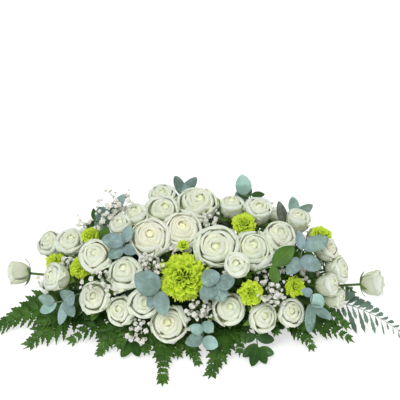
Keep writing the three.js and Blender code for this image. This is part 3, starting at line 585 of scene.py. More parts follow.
# Roses
@functools.lru_cache(maxsize=None)
def weights(knots, n):
    """Shares of evenly spaced values in a smooth curve of n points through them."""
    x = np.linspace(0, knots - 1, n)
    i = np.minimum(x.astype(int), knots - 2)
    f = (x - i)[:, None]
    spot = np.eye(knots)
    slope = np.gradient(spot, axis=0)
    ahead = spot[i + 1] * (3 * f ** 2 - 2 * f ** 3) + slope[i + 1] * (f ** 3 - f ** 2)
    return spot[i] * (1 - 3 * f ** 2 + 2 * f ** 3) + slope[i] * (f - 2 * f ** 2 + f ** 3) + ahead


def through(values, n):
    """Smooth curve of n points through evenly spaced values."""
    shares = weights(len(values), n)
    return sum(value * shares[:, j] for j, value in enumerate(values))


def rose_shape(openness):
    """Shape of a rose in head radii: how wide its cup is, how tall it is, and how far above its
    base its middle and its foot are."""
    tall = 1 + BUD_LENGTH * (1 - openness) ** 1.5
    return {"open": openness, "cup": 0.88 + 0.12 * openness, "tall": tall,
            "middle": (0.5 + 0.22 * openness) * tall, "foot": 0.04}


def carnation_shape():
    """The same for a carnation."""
    return {"middle": 0.5, "foot": -0.55}


def plan(row, shape_of):
    """A head by its row: its shape, its place and aim, and where its stem meets it."""
    at, wide, yaw, pitch, *openness = row
    shape = shape_of(*openness)
    size = wide / 2 * HEAD_FILL
    direction = aim(yaw, pitch)
    base = v3(at) - direction * (shape["middle"] * size)
    foot = base + direction * ((shape["foot"] - FOOT_DROP) * size)
    return {**shape, "at": v3(at), "wide": wide, "size": size, "aim": direction, "base": base,
            "foot": foot}


def in_head(head, r, turn, h):
    """Points of a head from their radius, turn and height in head radii."""
    side = head["side"]
    up = np.cross(head["aim"], side)
    spot = (r * np.cos(turn))[..., None] * side + (r * np.sin(turn))[..., None] * up
    return head["base"] + head["size"] * (spot + h[..., None] * head["aim"])


def bezier(a, b, c, d, t):
    s = 1 - t
    return a * s ** 3 + 3 * b * s * s * t + 3 * c * s * t * t + d * t ** 3


def rose(petals, green, head, rng):
    """Layers of petals round a heart, from the outermost in. u is 0 for the first layer and 1 for
    the last, jitter each petal's own draws, s across a petal and t along it."""
    openness, wide, cup, tall = (head[key] for key in ("open", "wide", "cup", "tall"))
    if wide > FULL_ROSE:
        counts = [5, 5, 4, 3, 3]
        m, n = 13, 12
    elif wide > HALF_ROSE:
        counts = [5, 4, 3, 3]
        m, n = 11, 11
    else:
        counts = [4, 3, 3]
        m, n = 9, 11
    s, t = grid(m, n)
    late = np.clip((t - 0.70) / 0.34, 0, 1)
    start = rng.uniform(0, 2 * math.pi)
    own = rng.uniform(0, 1) * (0.35 if wide < CREAM_ROSE else 1)
    bloom = min(1, max(0, (openness - 0.3) / 0.6))
    # the middle of an open rose leans to the light above
    lean = square(v3([0, 0, 1]) + 0.6 * rng.normal(0, 1, 3), head["aim"])
    lean = lean * rng.uniform(0.12, 0.24) * (0.3 + 0.7 * bloom)
    before = None
    held = 0.0
    for i, count in enumerate(counts):
        u = i / (len(counts) - 1)
        k = np.arange(count)[:, None, None]
        jitter = rng.normal(0, 1, (6, count, 1, 1))
        blunt = lerp(0.40, 0.3, u)
        outline = 0.34 + 0.66 * np.sin(np.minimum(t / 0.66, 1) * math.pi / 2)
        outline = outline * (1 - late ** 2.2) ** blunt
        rim = cup * lerp(0.95 - 0.66 * u, 0.93 - 0.69 * u ** 1.15, bloom)
        rise = tall * lerp(0.93 + 0.12 * u, 0.74 + 0.34 * (1 - (1 - u) ** 1.5), bloom)
        belly = max(cup * (1.0 - 0.36 * u), rim + 0.05)
        curl = (0.045 + 0.105 * openness) * (1 - u) ** 1.3 + 0.018
        if before:
            neck = before[0] + 0.08 - 0.04 * u
            high = before[1] + 0.02
        else:
            neck = cup * lerp(0.98, 0.95, bloom)
            high = rise * 0.76
        before = (rim + 0.55 * curl, rise)
        rim = rim * (1 + 0.035 * jitter[0])
        rise = rise + 0.04 * jitter[1]
        # a bud narrows to its foot, an open head is round below
        low = belly * lerp(0.50, 0.8, bloom)
        r = through((0.10, low, belly * lerp(0.88, 1, bloom), neck, rim), n)
        h = through((0.0, 0.08 * rise, 0.42 * rise, high, rise), n)
        # each petal lies over the next one at one side
        r = r + 0.075 * (1 - 0.6 * u) * s * outline * t ** 0.7
        over = np.clip((t - 0.74) / 0.26, 0, 1)
        edge = np.clip((np.abs(s) - 0.3) / 0.7, 0, 1)
        roll = curl * (1 + 0.4 * jitter[3]) * (over ** 2 + 0.5 * edge ** 2 * t ** 3)
        r = r + roll
        h = h - 0.5 * roll - 0.17 * (1 - 0.3 * u) * np.abs(s) ** 1.6 * t ** 4
        h = h + 0.13 * (1 - 0.5 * u) * (1 + 0.5 * jitter[2]) * over * (1 - np.abs(s)) ** 1.6
        wave = 0.012 * (1 - 0.4 * u) * t ** 2
        r = r + wave * np.sin(2.6 * s + 2 * jitter[4] + 3 * t)
        h = h + 1.6 * wave * np.sin(2.9 * s + 2 * jitter[5])
        half = 2 * math.pi / count * (0.61 + 0.14 * u) * (1 + 0.05 * jitter[2])
        turn = start + 2 * math.pi * (k + 0.5 * (i % 2)) / count + 0.18 * jitter[5] + i * 0.37
        if u > 0.45:
            r = r * (1 - 0.10 * (s + 1))
        points = in_head(head, r, turn + s * half * outline, h)
        drift = lerp(held, rise * u, np.clip((t - 0.7) / 0.3, 0, 1))
        points = points + head["size"] * (drift * np.minimum(1, 1.4 * t))[..., None] * lean
        held = before[1] * u
        chance = np.clip(own * 0.6 + 0.4 * rng.uniform(0, 1, (count, 1, 1)), 0, 1)
        sheets(petals, points, s, t, u - 0.7 * (1 - bloom) * (1 - u), chance, PETAL)
    heart(petals, head, start, before, own, lean, rng)
    sepals(green, head, start, rng)


def heart(petals, head, start, rim, own, lean, rng):
    """The petals still rolled up in the middle of a rose: a coil that bulges up against the
    innermost petals, round a small core."""
    size = head["size"]
    top = rim[1]
    q = np.linspace(0, 1, 31)[None, :, None]
    t = np.linspace(0, 1, 7)[None, None, :]
    turn = start + 2 * math.pi * 1.7 * q
    late = np.clip((t - 0.83) / 0.17, 0, 1)
    swell = np.sin(np.minimum(1, t / 0.83) * math.pi / 2) - 0.22 * late
    r = (1.3 * rim[0] * (1 - q) ** 0.6 + 0.02) * swell
    r = r * (1 + 0.09 * np.cos(2 * (turn - start) - 3 * own) + 0.03 * np.sin(3 * turn + 5 * own))
    h = lerp(top * 0.55, top + 0.03 + 0.05 * q + 0.04 * np.sin(1.5 * turn + 4 * own), t)
    points = in_head(head, r, turn, h) + size * top * lean
    sheets(petals, points, 0.8 * q - 0.4, 0.2 + 0.8 * t, 1.0, own, LEAF)
    core = [(0.4, 0.98), (0.78, 1.04), (0.90, 0.98), (0.95, 0.80), (0.975, 0.55), (0.985, 0.2)]
    tube(petals, [head["base"] + size * top * (h * head["aim"] + lean) for h, _ in core],
         [size * r * rim[0] * 0.92 for _, r in core], 16, (0.40, 0, 1.0, own))


def sepals(green, head, start, rng):
    """Five pointed sepals: folded back under an open bloom, along the cup of a bud."""
    cup, tall = head["cup"], head["tall"]
    hug = max(0.0, 1 - 1.25 * head["open"])
    s, t = grid(5, 8)
    k = np.arange(5)[:, None, None]
    jitter = rng.normal(0, 1, (2, 5, 1, 1))
    away = np.abs(jitter[0]) * 0.16
    r = bezier(0.14, cup * lerp(0.98, 0.60, hug), cup * (lerp(1.04, 0.90, hug) + away),
               cup * (lerp(1.1, 1.0, hug) + 1.6 * away), t)
    h = bezier(-0.02, lerp(-0.02, 0.03, hug), lerp(0.0, 0.30 * tall, hug),
               lerp(-0.2, 0.62 * tall, hug) + 0.08 * jitter[1], t)
    width = 0.30 * (1 - t) ** 0.8 + 0.012 + 0.07 * np.exp(-((t - 0.3) / 0.14) ** 2)
    turn = start + 0.4 + 2 * math.pi * k / 5 + s * width / np.maximum(r, 0.14)
    points = in_head(head, r - 0.04 * np.abs(s), turn, h + 0 * s)
    sheets(green, points, s, t, 1.0, rng.uniform(0.3, 0.7, (5, 1, 1)), SEPAL)


# Carnations
def carnation(petals, green, head, rng):
    """Layers of fringed and folded petals, then the green tube that they stand in."""
    big = head["wide"] > FULL_CARNATION
    small = head["wide"] < SMALL_CARNATION
    rims = [(0.9, 0.34), (0.9, 0.56), (0.78, 0.76), (0.62, 0.92), (0.42, 1.02), (0.24, 1.08),
            (0.1, 1.04)]
    counts = [10, 9, 9, 8, 7, 5, 3] if big else [9, 9, 8, 7, 6, 4, 3]
    if small:
        rims = rims[1::2]
        counts = [7, 6, 4]
    m = 21 if big else 11
    n = 7 if big else 6
    s, t = grid(m, n)
    start = rng.uniform(0, 2 * math.pi)
    for i, count in enumerate(counts):
        u = i / (len(counts) - 1)
        rim, rise = rims[i]
        k = np.arange(count)[:, None, None]
        jitter = rng.normal(0, 1, (6, count, 1, 1))
        rim = rim * (1 + 0.06 * jitter[0])
        rise = rise + 0.05 * jitter[1]
        tooth = 0.05 * np.where(np.arange(m) % 2, 1.0, -1.0)[None, :, None]
        end = t * (1 + (tooth + 0.06 * np.sin(4 * s + 3 * jitter[2])) * t ** 3)
        r = bezier(0.1, 0.16 + 0.1 * rim, rim * 0.72, rim, end)
        h = bezier(-0.1, 0.22, rise * 0.95 + 0.1, rise, end)
        fold = (0.14 if big else 0.13) * t ** 1.6
        wave = np.sin((6.2 if big else 5.4) * s + 4 * jitter[3] + 1.5 * t)
        h = h + fold * wave * (1 - 0.4 * u)
        r = r + fold * (0.5 * np.cos(5.2 * s + 3 * jitter[4]) + 0.5 * wave * u)
        half = (math.pi / count * 1.6 + 0.25 * u) * (0.18 + 0.82 * t)
        turn = start + GOLDEN * i + 2 * math.pi * k / count + 0.15 * jitter[5]
        lean = 0.06 * s * t
        points = in_head(head, r + lean, turn + s * half, h)
        sheets(petals, points, s, t, u, rng.uniform(0, 1, (count, 1, 1)), PETAL)
    size = head["size"]
    stations = [(-0.62, 0.1), (-0.55, 0.2), (-0.3, 0.26), (-0.02, 0.31), (0.06, 0.27)]
    tube(green, [head["base"] + head["aim"] * size * h for h, _ in stations],
         [size * r for _, r in stations], 12, (0.6, 0, 0, 0.4))


# Stems
def root_of(p):
    """Where the stem of a bloom at p ends in the foam."""
    x = min(max(p[0] * ROOT_ALONG, -ROOT_REACH_X), ROOT_REACH_X)
    y = min(max(p[1] * ROOT_ACROSS, -ROOT_REACH_Y), ROOT_REACH_Y)
    return v3([x, y, ROOT_LOW + ROOT_RISE * (p[2] - ROOT_FROM)])


def stem_path(start, head, offset):
    """From the foam or the fork into the back of a head, bent by the offset."""
    lead = np.linalg.norm(start - head["foot"]) * 0.4
    middle = head["foot"] - head["aim"] * lead + offset
    return [curve(start, middle, head["foot"], t) for t in (0, 0.5)] + [head["foot"].copy()]


def flower_stem(name, rows, shape_of, dress, petals, green, rng):
    """A stem from the foam to its bloom, or to a fork with a branch to each of its blooms."""
    heads = [plan(row, shape_of) for row in rows]
    middle = np.zeros(3)
    for head in heads:
        middle = middle + head["foot"] / len(heads)
    root = root_of(middle)
    start = root
    radius = STEM_RADIUS
    if len(heads) > 1:
        fork = lerp(middle, root, FORK_BACK)

        def bend(o):
            return [curve(root, lerp(root, fork, 0.5) + o, fork, t) for t in (0, 0.5, 1)]

        tube(green, rounded(bent(bend, STEM_RADIUS, name, STEM_GAIN)), STEM_RADIUS, 8)
        start = fork
        radius = BRANCH_RADIUS
    for head in heads:
        path = bent(lambda o: stem_path(start, head, o), radius, name, STEM_GAIN)
        head["path"] = path
        stem_paths.append(path)
        whole = [*path, head["base"]]
        head["side"] = square(list(frames(whole))[-1][2], head["aim"])
        spots = rounded(whole)
        size = head["size"]
        if shape_of is rose_shape:
            spots += [head["base"] + head["aim"] * size * h for h in (0.05, 0.12)]
            radii = [radius] * (len(spots) - 4) + [size * r for r in (0.11, 0.2, 0.22, 0.12)]
        else:
            spots = spots[:-1]
            radii = radius
        tube(green, spots, radii, 8)
        dress(petals, green, head, rng)
    return heads


# Leaves
def leaf_plan(start, tip, wide, face):
    """A leaf by its ends and width, turned as near to the face as it can be."""
    along = tip - start
    long = np.linalg.norm(along)
    along = along / long
    normal = square(v3(face), along)
    return {"from": start, "along": along, "long": long, "normal": normal,
            "side": np.cross(normal, along), "half": wide / 2}


def leaf_point(leaf, t, s, lift):
    p = leaf["from"] + leaf["along"] * leaf["long"] * t
    return p + leaf["side"] * leaf["half"] * s + leaf["normal"] * lift * leaf["half"]


def leaf_samples(leaf):
    places = [(t, s) for t in (0.3, 0.6, 0.9) for s in (-0.7, 0, 0.7) if t < 0.9 or s == 0]
    return [(leaf_point(leaf, t, s, 0.1), leaf["half"] * 0.3) for t, s in places]


def blade(bag, leaf, rng, peak, blunt, tone, m=9, n=13, thick=LEAF, wave=0.05, toothed=0.0):
    """One leaf. peak puts its widest place, blunt rounds its ends."""
    s, t = grid(m, n)
    width = np.sin(math.pi * t ** peak) ** blunt + 0.03
    if toothed:
        width = width * (1 + toothed * np.where(np.arange(n) % 2, 1.0, -1.0))
    turn = rng.uniform(0, 6.28, 3)
    lift = 0.22 * s ** 2 * width
    ripple = np.sin(6 * t + turn[0]) * s + 0.6 * np.sin(4 * t + 2 * s + turn[1])
    lift = lift + wave * ripple * width
    lift = lift + 0.16 * np.sin(turn[2]) * np.sin(math.pi * t)
    p = leaf["from"] + leaf["along"] * (leaf["long"] * t + 0 * s)[..., None]
    p = p + leaf["side"] * (leaf["half"] * s * width)[..., None]
    p = p + leaf["normal"] * (leaf["half"] * lift)[..., None]
    sheets(bag, p, s, t, tone, rng.uniform(0, 1), thick)


def sprig(name, root, places, specs, face, leaves, stems, rng, peak, blunt):
    """A thin stem through its places, with its leaves."""
    places = [v3(p) for p in places]
    root = root_of(places[0]) if root is None else v3(root)

    def stem(o):
        return [root, curve(root, lerp(root, places[0], 0.5) + o, places[0], 0.5), *places]

    path = bent(stem, SPRIG_RADIUS, name, SPRIG_GAIN)
    spots = rounded(path, 6)
    tube(stems, spots, np.linspace(1.5, 0.9, len(spots)), 8)
    along = [unit(p - (places[i - 1] if i else path[1])) for i, p in enumerate(places)]
    used = {}
    for on, tip, wide, *tone in specs:
        used[on] = used.get(on, 0) + 1
        start = places[on] + along[on] * (LEAF_STEP * (0.4 - used[on]))

        def turned(o):
            return leaf_plan(start, v3(tip) + o, wide, face)

        leaf = turned(room.bend_clear(lambda o: leaf_samples(turned(o)), name, LEAF_GAIN))
        drawn = rng.uniform(0, 0.7)
        blade(leaves, leaf, rng, peak, blunt, tone[0] if tone else drawn)
        room.take(leaf_samples(leaf), name)


# Fern
def frond_row(via, tip, half, bare=FROND_BARE):
    """A row of FERNS or MORE_FRONDS, its values by name."""
    return {"via": v3(via), "tip": v3(tip), "half": half, "bare": bare}


def station(start, row, t):
    """A place on a frond's rib, with its direction, the frond's normal and its side."""
    p = curve(start, row["via"], row["tip"], t)
    along = unit(curve(start, row["via"], row["tip"], t + 0.01) - p)
    normal = square(v3([0, -0.45, 0.9]), along)
    return p, along, normal, np.cross(normal, along)


def reach_of(row, part):
    """How long the leaflets are at a part of a frond."""
    return row["half"] * min(1, 0.7 + 1.5 * part) * (1.08 * (1 - part) + 0.14)


def pinna(bag, base, axis, normal, half, lobes, tone, rng):
    """One side leaflet of a fern: pointed, cut into lobes that lean to its tip."""
    n = 3 * lobes + 2
    s, t = grid(5, n)
    long = np.linalg.norm(axis)
    along = axis / long
    side = unit(np.cross(normal, along))
    up = np.cross(along, side)
    notch = ((np.arange(n) - 1) % 3 == 0) & (np.arange(n) < n - 1)
    peak = (np.arange(n) - 1) % 3 == 2
    cut = np.where(notch, 0.62 + 0.15 * t[0, 0], np.where(peak, 1.13, 0.92))
    width = np.minimum(1, 0.7 + 1.6 * t) * (1.02 - t) * cut * (1 + 0.1 * rng.normal(0, 1, n))
    lift = -0.14 * s ** 2 * width * half - long * (0.02 + 0.10 * rng.uniform()) * t ** 2
    lift = lift + 0.07 * half * np.sin(9 * t + rng.uniform(0, 6)) * s
    forward = t + 0.6 * np.abs(s) * width * half / long * (1 - 0.5 * t)
    p = base + along * (long * forward)[..., None] + side * (half * width * s)[..., None]
    p = p + up * lift[..., None]
    p[..., 2] = np.maximum(p[..., 2], FROND_LOW)
    sheets(bag, p, s, t, tone, rng.uniform(0, 1), LEAFLET)


def frond(bag, start, row, rng):
    """Frond cut twice: broad side leaflets in pairs, each cut into pointed lobes."""
    bare = row["bare"]
    spots = [station(start, row, t)[0] for t in np.linspace(0, 1, 18)]
    tube(bag, spots, np.linspace(1.1, 0.4, 18), 5, FERN_MARK)
    long = sum(np.linalg.norm(b - a) for a, b in zip(spots[:-1], spots[1:])) * (1 - bare)
    count = max(6, int(round(long / min(FROND_STEP, 0.5 * row["half"]))))
    for i in range(count + 1):
        left = 1 - min((i + 0.3) / count, 1)
        part = 1 - left ** 1.4
        p, along, normal, side = station(start, row, bare + (1 - bare) * part)
        reach = max(reach_of(row, part), 0.34 * row["half"]) * rng.uniform(0.98, 1.22)
        face = unit(normal + 0.5 * along)
        for sign in (-1, 1):
            front = (side * sign)[1] < -0.5
            way = side * sign * reach + along * reach * (0.8 + 0.5 * part + 0.2 * rng.uniform())
            if i == count:
                if sign > 0:
                    continue
                way = along * reach * 1.5
            size = np.linalg.norm(way)
            half = min(0.44 * size, 1.4 * left ** 0.4 * long / count)
            half = half * (0.72 if front and i < count else 1.0)
            pinna(bag, p, way, unit(face + 0.16 * rng.normal(0, 1, 3)), max(3.6, half),
                  max(3, int(round(size / 7))), 0.8 * part * rng.uniform(0.5, 1.2), rng)


def feather(bag, start, row, rng):
    """Frond with separate leaflets, widest and toothed at their ends, the lower ones longer."""
    bare = row["bare"]
    spots = [station(start, row, t)[0] for t in np.linspace(0, 1, 20)]
    tube(bag, spots, np.linspace(1.2, 0.5, 20), 6, FERN_MARK)
    for i in range(DUSTY_PAIRS):
        part = (i + 0.5) / DUSTY_PAIRS
        p, along, normal, side = station(start, row, bare + (1 - bare) * part)
        face = unit(normal + 0.6 * v3([0, -1, 0.2]))
        for sign in (-1, 1):
            reach = max(reach_of(row, part), 12) * rng.uniform(0.85, 1.1)
            below = sign < 0
            hangs = below and i % 2 == 1
            if hangs and part < 0.9:
                reach = min(DUSTY_LONG, reach * 1.9)
            way = side * sign + along * (0.5 + 0.5 * part) - normal * (0.05 + 0.25 * rng.uniform())
            tip = p + way * reach
            tip[2] = max(tip[2], DUSTY_LOW)
            wide = max(6.0, reach * rng.uniform(0.42, 0.56))
            wide = wide * (0.36 if hangs else 0.6 if below else 1.0)
            leaf = leaf_plan(p, tip, wide, face + 0.35 * rng.normal(0, 1, 3))
            blade(bag, leaf, rng, 1.7, 0.7, rng.uniform(0, 1), 5, 10, LEAFLET, 0.1, 0.16)
    p, along, normal, side = station(start, row, 1)
    leaf = leaf_plan(p, p + along * 8, 5, normal)
    blade(bag, leaf, rng, 0.8, 0.75, 0.5, 5, 6, LEAFLET)


def fern(bag, name, row, rng, dress=frond):
    """A stalk with its fronds, each dressed as a frond or a feather."""
    root, fork, specs = v3(row[0]), v3(row[1]), row[2]
    for spec in specs:
        spec = frond_row(*spec)
        dress(bag, fork, spec, rng)
        samples = []
        t = 0.15
        while t <= 1:
            p = curve(fork, spec["via"], spec["tip"], t)
            samples.append((p, min(6, spec["half"] * 0.3)))
            t += 0.1
        room.take(samples, name)
    tube(bag, [root, fork], SPRIG_RADIUS, 6, FERN_MARK)
    room.take(along_path([root, fork], SPRIG_RADIUS), name)


def stem_leaves(bag, stems, rng):
    """Rose leaves in threes on the flower stems, wherever there is room for them."""
    for number, path in enumerate(stems * STEM_ROUNDS):
        t = rng.uniform(0.25, 0.97)
        base = lerp(path[1], path[2], t) if t > 0.4 else lerp(path[0], path[1], 0.5 + t)
        if base[2] < FOAM_HIGH + 6 and abs(base[0]) < 160 and abs(base[1]) < 60:
            continue
        out = v3([base[0] / 300, base[1] / 110, 0.3])
        way = unit(unit(out) * 0.7 + rng.normal(0, 0.55, 3))
        face = v3([way[0] * 0.4, -0.5 if base[1] < 40 else 0.5, 0.7]) + rng.normal(0, 0.25, 3)
        long = rng.uniform(20, 34)
        joint = base + way * long * 0.35
        side = unit(np.cross(face, way))
        blades = [(joint, joint + way * long, long * 0.6)]
        for hand in (-1, 1):
            tip = joint + (side * hand * 0.85 + way * 0.45) * long * 0.75
            blades.append((joint - way * 2, tip, long * 0.44))
        leaves = [leaf_plan(a, b, wide, face) for a, b, wide in blades]
        keep = []
        for leaf in leaves:
            tip = leaf["from"] + leaf["along"] * leaf["long"]
            if abs(tip[1]) > STEM_LEAF_Y or abs(tip[0]) > STEM_LEAF_X or tip[2] < STEM_LEAF_LOW:
                continue
            roof = DOME_HIGH * math.sqrt(1 - (tip[0] / DOME_HALF_X) ** 2)
            roof = roof * math.sqrt(1 - (tip[1] / DOME_HALF_Y) ** 2)
            if tip[2] > roof - 12 or room.crowding(leaf_samples(leaf), "none"):
                continue
            keep.append(leaf)
        if not keep or keep[0] is not leaves[0]:
            continue
        stalk = [base, lerp(base, joint, 0.5), joint + way * 1.5]
        tube(bag, stalk, [0.9, 0.8, 0.6], 5, STALK_MARK)
        for leaf in keep:
            blade(bag, leaf, rng, 0.88, 0.75, rng.uniform(0, 0.7), 5, 11, LEAF, 0.08, 0.03)
        room.take([x for leaf in keep for x in leaf_samples(leaf)], "stem leaf %d" % number)


# Tiny blossoms
def blossom(bag, centre, toward, size, rng):
    """Ball of small curled petals."""
    toward = unit(toward)
    side = square(v3([1, 0.13, 0.2]), toward)
    up = np.cross(toward, side)
    base, axis, normals, half = [], [], [], []
    for ring, (count, slant, long) in enumerate(((6, 1.5, 0.95), (6, 0.95, 0.95), (4, 0.45, 0.85))):
        for k in range(count):
            turn = 2 * math.pi * (k + 0.5 * ring) / count + rng.normal(0, 0.2)
            lean = slant + rng.normal(0, 0.12)
            out = side * math.cos(turn) + up * math.sin(turn)
            way = toward * math.cos(lean) + out * math.sin(lean)
            base.append(centre - toward * size * 0.25)
            axis.append(way * size * long * 1.15)
            normals.append(toward * math.sin(lean) - out * math.cos(lean))
            half.append(size * 0.42)
    mark = (0, 0, rng.uniform(0, 1), rng.uniform(0, 1))
    slivers(bag, *(np.array(x) for x in (base, axis, normals, half)), size * 0.3, mark)


def stalk_to(hub, radius, name, most, *beyond):
    """A bent stalk from the foam to a hub, and on through the places beyond it."""
    root = root_of(hub)

    def stalk(o):
        return [root, lerp(root, hub, 0.5) + o, hub, *beyond]

    return bent(stalk, radius, name, SPRIG_GAIN, most)


def spray(name, row, seed, blooms, stalks, rng):
    """Blossoms that fan out from a stalk. The same draws place them in the solids."""
    hub, toward, spread, count, *most = row
    hub = v3(hub)
    outward = unit(v3(toward))
    end = hub + outward * spread * 0.5
    path = stalk_to(hub, SPRIG_RADIUS, name, most[0] if most else None, end)
    spots = rounded(path)
    tube(stalks, spots, np.linspace(1.2, 0.8, len(spots)), 6)
    draw = draws(seed)
    side = square(v3([1, 0.1, 0]), outward)
    up = np.cross(outward, side)
    kin = []
    for k in range(SPRAY_TRIES):
        if len(kin) == count:
            break
        turn = GOLDEN * k
        slant = 0.25 + 1.1 * draw()
        reach = spread * (0.4 + 0.6 * draw())
        size = 3 + 1.4 * draw()
        start = lerp(hub, end, 0.95 * (len(kin) / count))
        centre = start + outward * reach * math.cos(slant)
        centre = centre + side * reach * math.sin(slant) * math.cos(turn)
        centre = centre + up * reach * math.sin(slant) * math.sin(turn)
        samples = [*along_path([start, centre], STALK_RADIUS, 0.15), (centre, size)]
        if room.crowding(samples, name):
            continue
        if any(np.linalg.norm(o - centre) < r + size + 2 for o, r in kin):
            continue
        cluster(blooms, stalks, start, centre, size * 1.3, rng)
        room.take(samples, name)
        kin.append((centre, size))


def cluster(blooms, stalks, start, centre, size, rng, twins=2):
    """One blossom on its stalk, with smaller ones on side twigs."""
    middle = lerp(start, centre, 0.5) + rng.normal(0, 0.6, 3)
    tube(stalks, [start, middle, centre], [0.6, 0.45, 0.4], 4)
    blossom(blooms, centre, centre - start, size * 0.86, rng)
    for _ in range(twins):
        joint = lerp(start, centre, rng.uniform(0.45, 0.75))
        spot = centre + rng.normal(0, 1, 3) * size * 1.25
        if np.linalg.norm(spot - centre) < size * 1.3:
            spot = centre + unit(spot - centre) * size * 1.5
        tube(stalks, [joint, spot], [0.35, 0.28], 3)
        blossom(blooms, spot, spot - joint, size * rng.uniform(0.5, 0.75), rng)


# Materials
class Tree:
    """Short ways to add nodes to a material."""

    def __init__(self, name):
        self.material = bpy.data.materials.new(name)
        self.material.use_nodes = True
        self.nodes = self.material.node_tree.nodes
        self.links = self.material.node_tree.links
        self.shader = self.nodes["Principled BSDF"]

    def put(self, socket, value):
        if isinstance(value, bpy.types.NodeSocket):
            self.links.new(value, socket)
        elif isinstance(value, (tuple, list)) and len(value) == 3:
            socket.default_value = (*value, 1.0) if socket.type == "RGBA" else value
        else:
            socket.default_value = value

    def marks(self):
        """What a piece's points are marked with: along, across, layer and chance."""
        for name in MARKS:
            node = self.nodes.new("ShaderNodeAttribute")
            node.attribute_name = name
            yield node.outputs["Fac"]

    def place(self):
        return self.nodes.new("ShaderNodeTexCoord").outputs["Object"]

    def math(self, operation, a, b=0.0, clamp=False):
        node = self.nodes.new("ShaderNodeMath")
        node.operation = operation
        node.use_clamp = clamp
        self.put(node.inputs[0], a)
        self.put(node.inputs[1], b)
        return node.outputs[0]

    def times(self, a, b):
        return self.math("MULTIPLY", a, b)

    def streaks(self, scale, *axes):
        """Noise that is drawn out: each of its three axes is a value times a factor."""
        node = self.nodes.new("ShaderNodeCombineXYZ")
        for socket, (value, factor) in zip(node.inputs, axes):
            self.put(socket, self.times(value, factor))
        return self.noise(scale, 3.0, node.outputs[0])

    def noise(self, scale, detail=2.0, vector=None, rough=0.5):
        node = self.nodes.new("ShaderNodeTexNoise")
        node.inputs["Scale"].default_value = scale
        node.inputs["Detail"].default_value = detail
        node.inputs["Roughness"].default_value = rough
        self.links.new(vector or self.place(), node.inputs["Vector"])
        return node.outputs["Fac"]

    def cells(self, scale):
        node = self.nodes.new("ShaderNodeTexVoronoi")
        node.inputs["Scale"].default_value = scale
        self.links.new(self.place(), node.inputs["Vector"])
        return node.outputs["Distance"]

    def span(self, value, low, high, to_low=0.0, to_high=1.0):
        node = self.nodes.new("ShaderNodeMapRange")
        node.interpolation_type = "SMOOTHSTEP"
        self.put(node.inputs["Value"], value)
        node.inputs["From Min"].default_value = low
        node.inputs["From Max"].default_value = high
        node.inputs["To Min"].default_value = to_low
        node.inputs["To Max"].default_value = to_high
        return node.outputs["Result"]

    def mix(self, share, a, b):
        node = self.nodes.new("ShaderNodeMix")
        node.data_type = "RGBA"
        self.put(node.inputs["Factor"], share)
        self.put(node.inputs[6], a)
        self.put(node.inputs[7], b)
        return node.outputs[2]

    def bump(self, height, strength, distance):
        node = self.nodes.new("ShaderNodeBump")
        node.inputs["Strength"].default_value = strength
        node.inputs["Distance"].default_value = distance
        self.put(node.inputs["Height"], height)
        self.links.new(node.outputs["Normal"], self.shader.inputs["Normal"])

    def finish(self, colour, rough, soft=0.0, radius=None, scale=None, **sockets):
        """Sets the shader. soft is the share of light that goes through the surface."""
        sockets.update(Base_Color=colour, Roughness=rough)
        if soft:
            sockets.update(Subsurface_Weight=soft, Subsurface_Radius=radius, Subsurface_Scale=scale)
        for name, value in sockets.items():
            self.put(self.shader.inputs[name.replace("_", " ")], value)
        return self.material


def dimmed(colour, share):
    return tuple(share * c for c in colour)


def rose_petal():
    t = Tree("rose_petal")
    along, across, layer, chance = t.marks()
    cream = t.times(t.span(layer, 0.1, 0.95), t.span(chance, 0.0, 1.0, 0.45, 0.95))
    colour = t.mix(cream, (0.88, 0.93, 0.735), (0.92, 0.92, 0.53))
    colour = t.mix(t.span(chance, 0.5, 0.95, 0.0, 0.55), colour, (0.95, 0.90, 0.69))
    colour = t.mix(t.span(chance, 0.5, 0.1, 0.0, 0.6), colour, (0.76, 0.84, 0.58))
    # greenish at the foot of each petal, and on the outermost petals in blotches
    # the inner petals' feet are lighter and yellower than the petal: painted light in the creases
    green = t.mix(t.span(layer, 0.0, 0.25), (0.78, 0.84, 0.48), (0.95, 0.94, 0.66))
    colour = t.mix(t.span(along, 0.72, 0.2, 0.0, 0.9), colour, green)
    blotch = t.times(t.span(t.noise(60, 3), 0.52, 0.75), t.span(layer, 0.0, 0.3, 0.3, 0.0))
    colour = t.mix(blotch, colour, (0.72, 0.77, 0.54))
    # closed buds are greener and duller
    colour = t.mix(t.span(layer, 0.0, -0.7, 0.0, 0.8), colour, (0.58, 0.62, 0.40))
    edge = t.times(t.span(along, 0.92, 1.0), t.span(t.noise(140, 3), 0.5, 0.8, 0.0, 0.3))
    colour = t.mix(edge, colour, (0.80, 0.76, 0.56))
    veins = t.streaks(2.2, (along, 1.3), (across, 9.0), (chance, 40.0))
    colour = t.mix(t.span(veins, 0.35, 0.75, 0.0, 0.12), colour, (0.74, 0.79, 0.60))
    t.bump(veins, 0.15, 0.0005)
    rough = t.span(t.noise(90, 2), 0.3, 0.7, 0.5, 0.64)
    return t.finish(colour, rough, 0.4, (1.0, 0.95, 0.5), 0.005, Specular_IOR_Level=0.3)


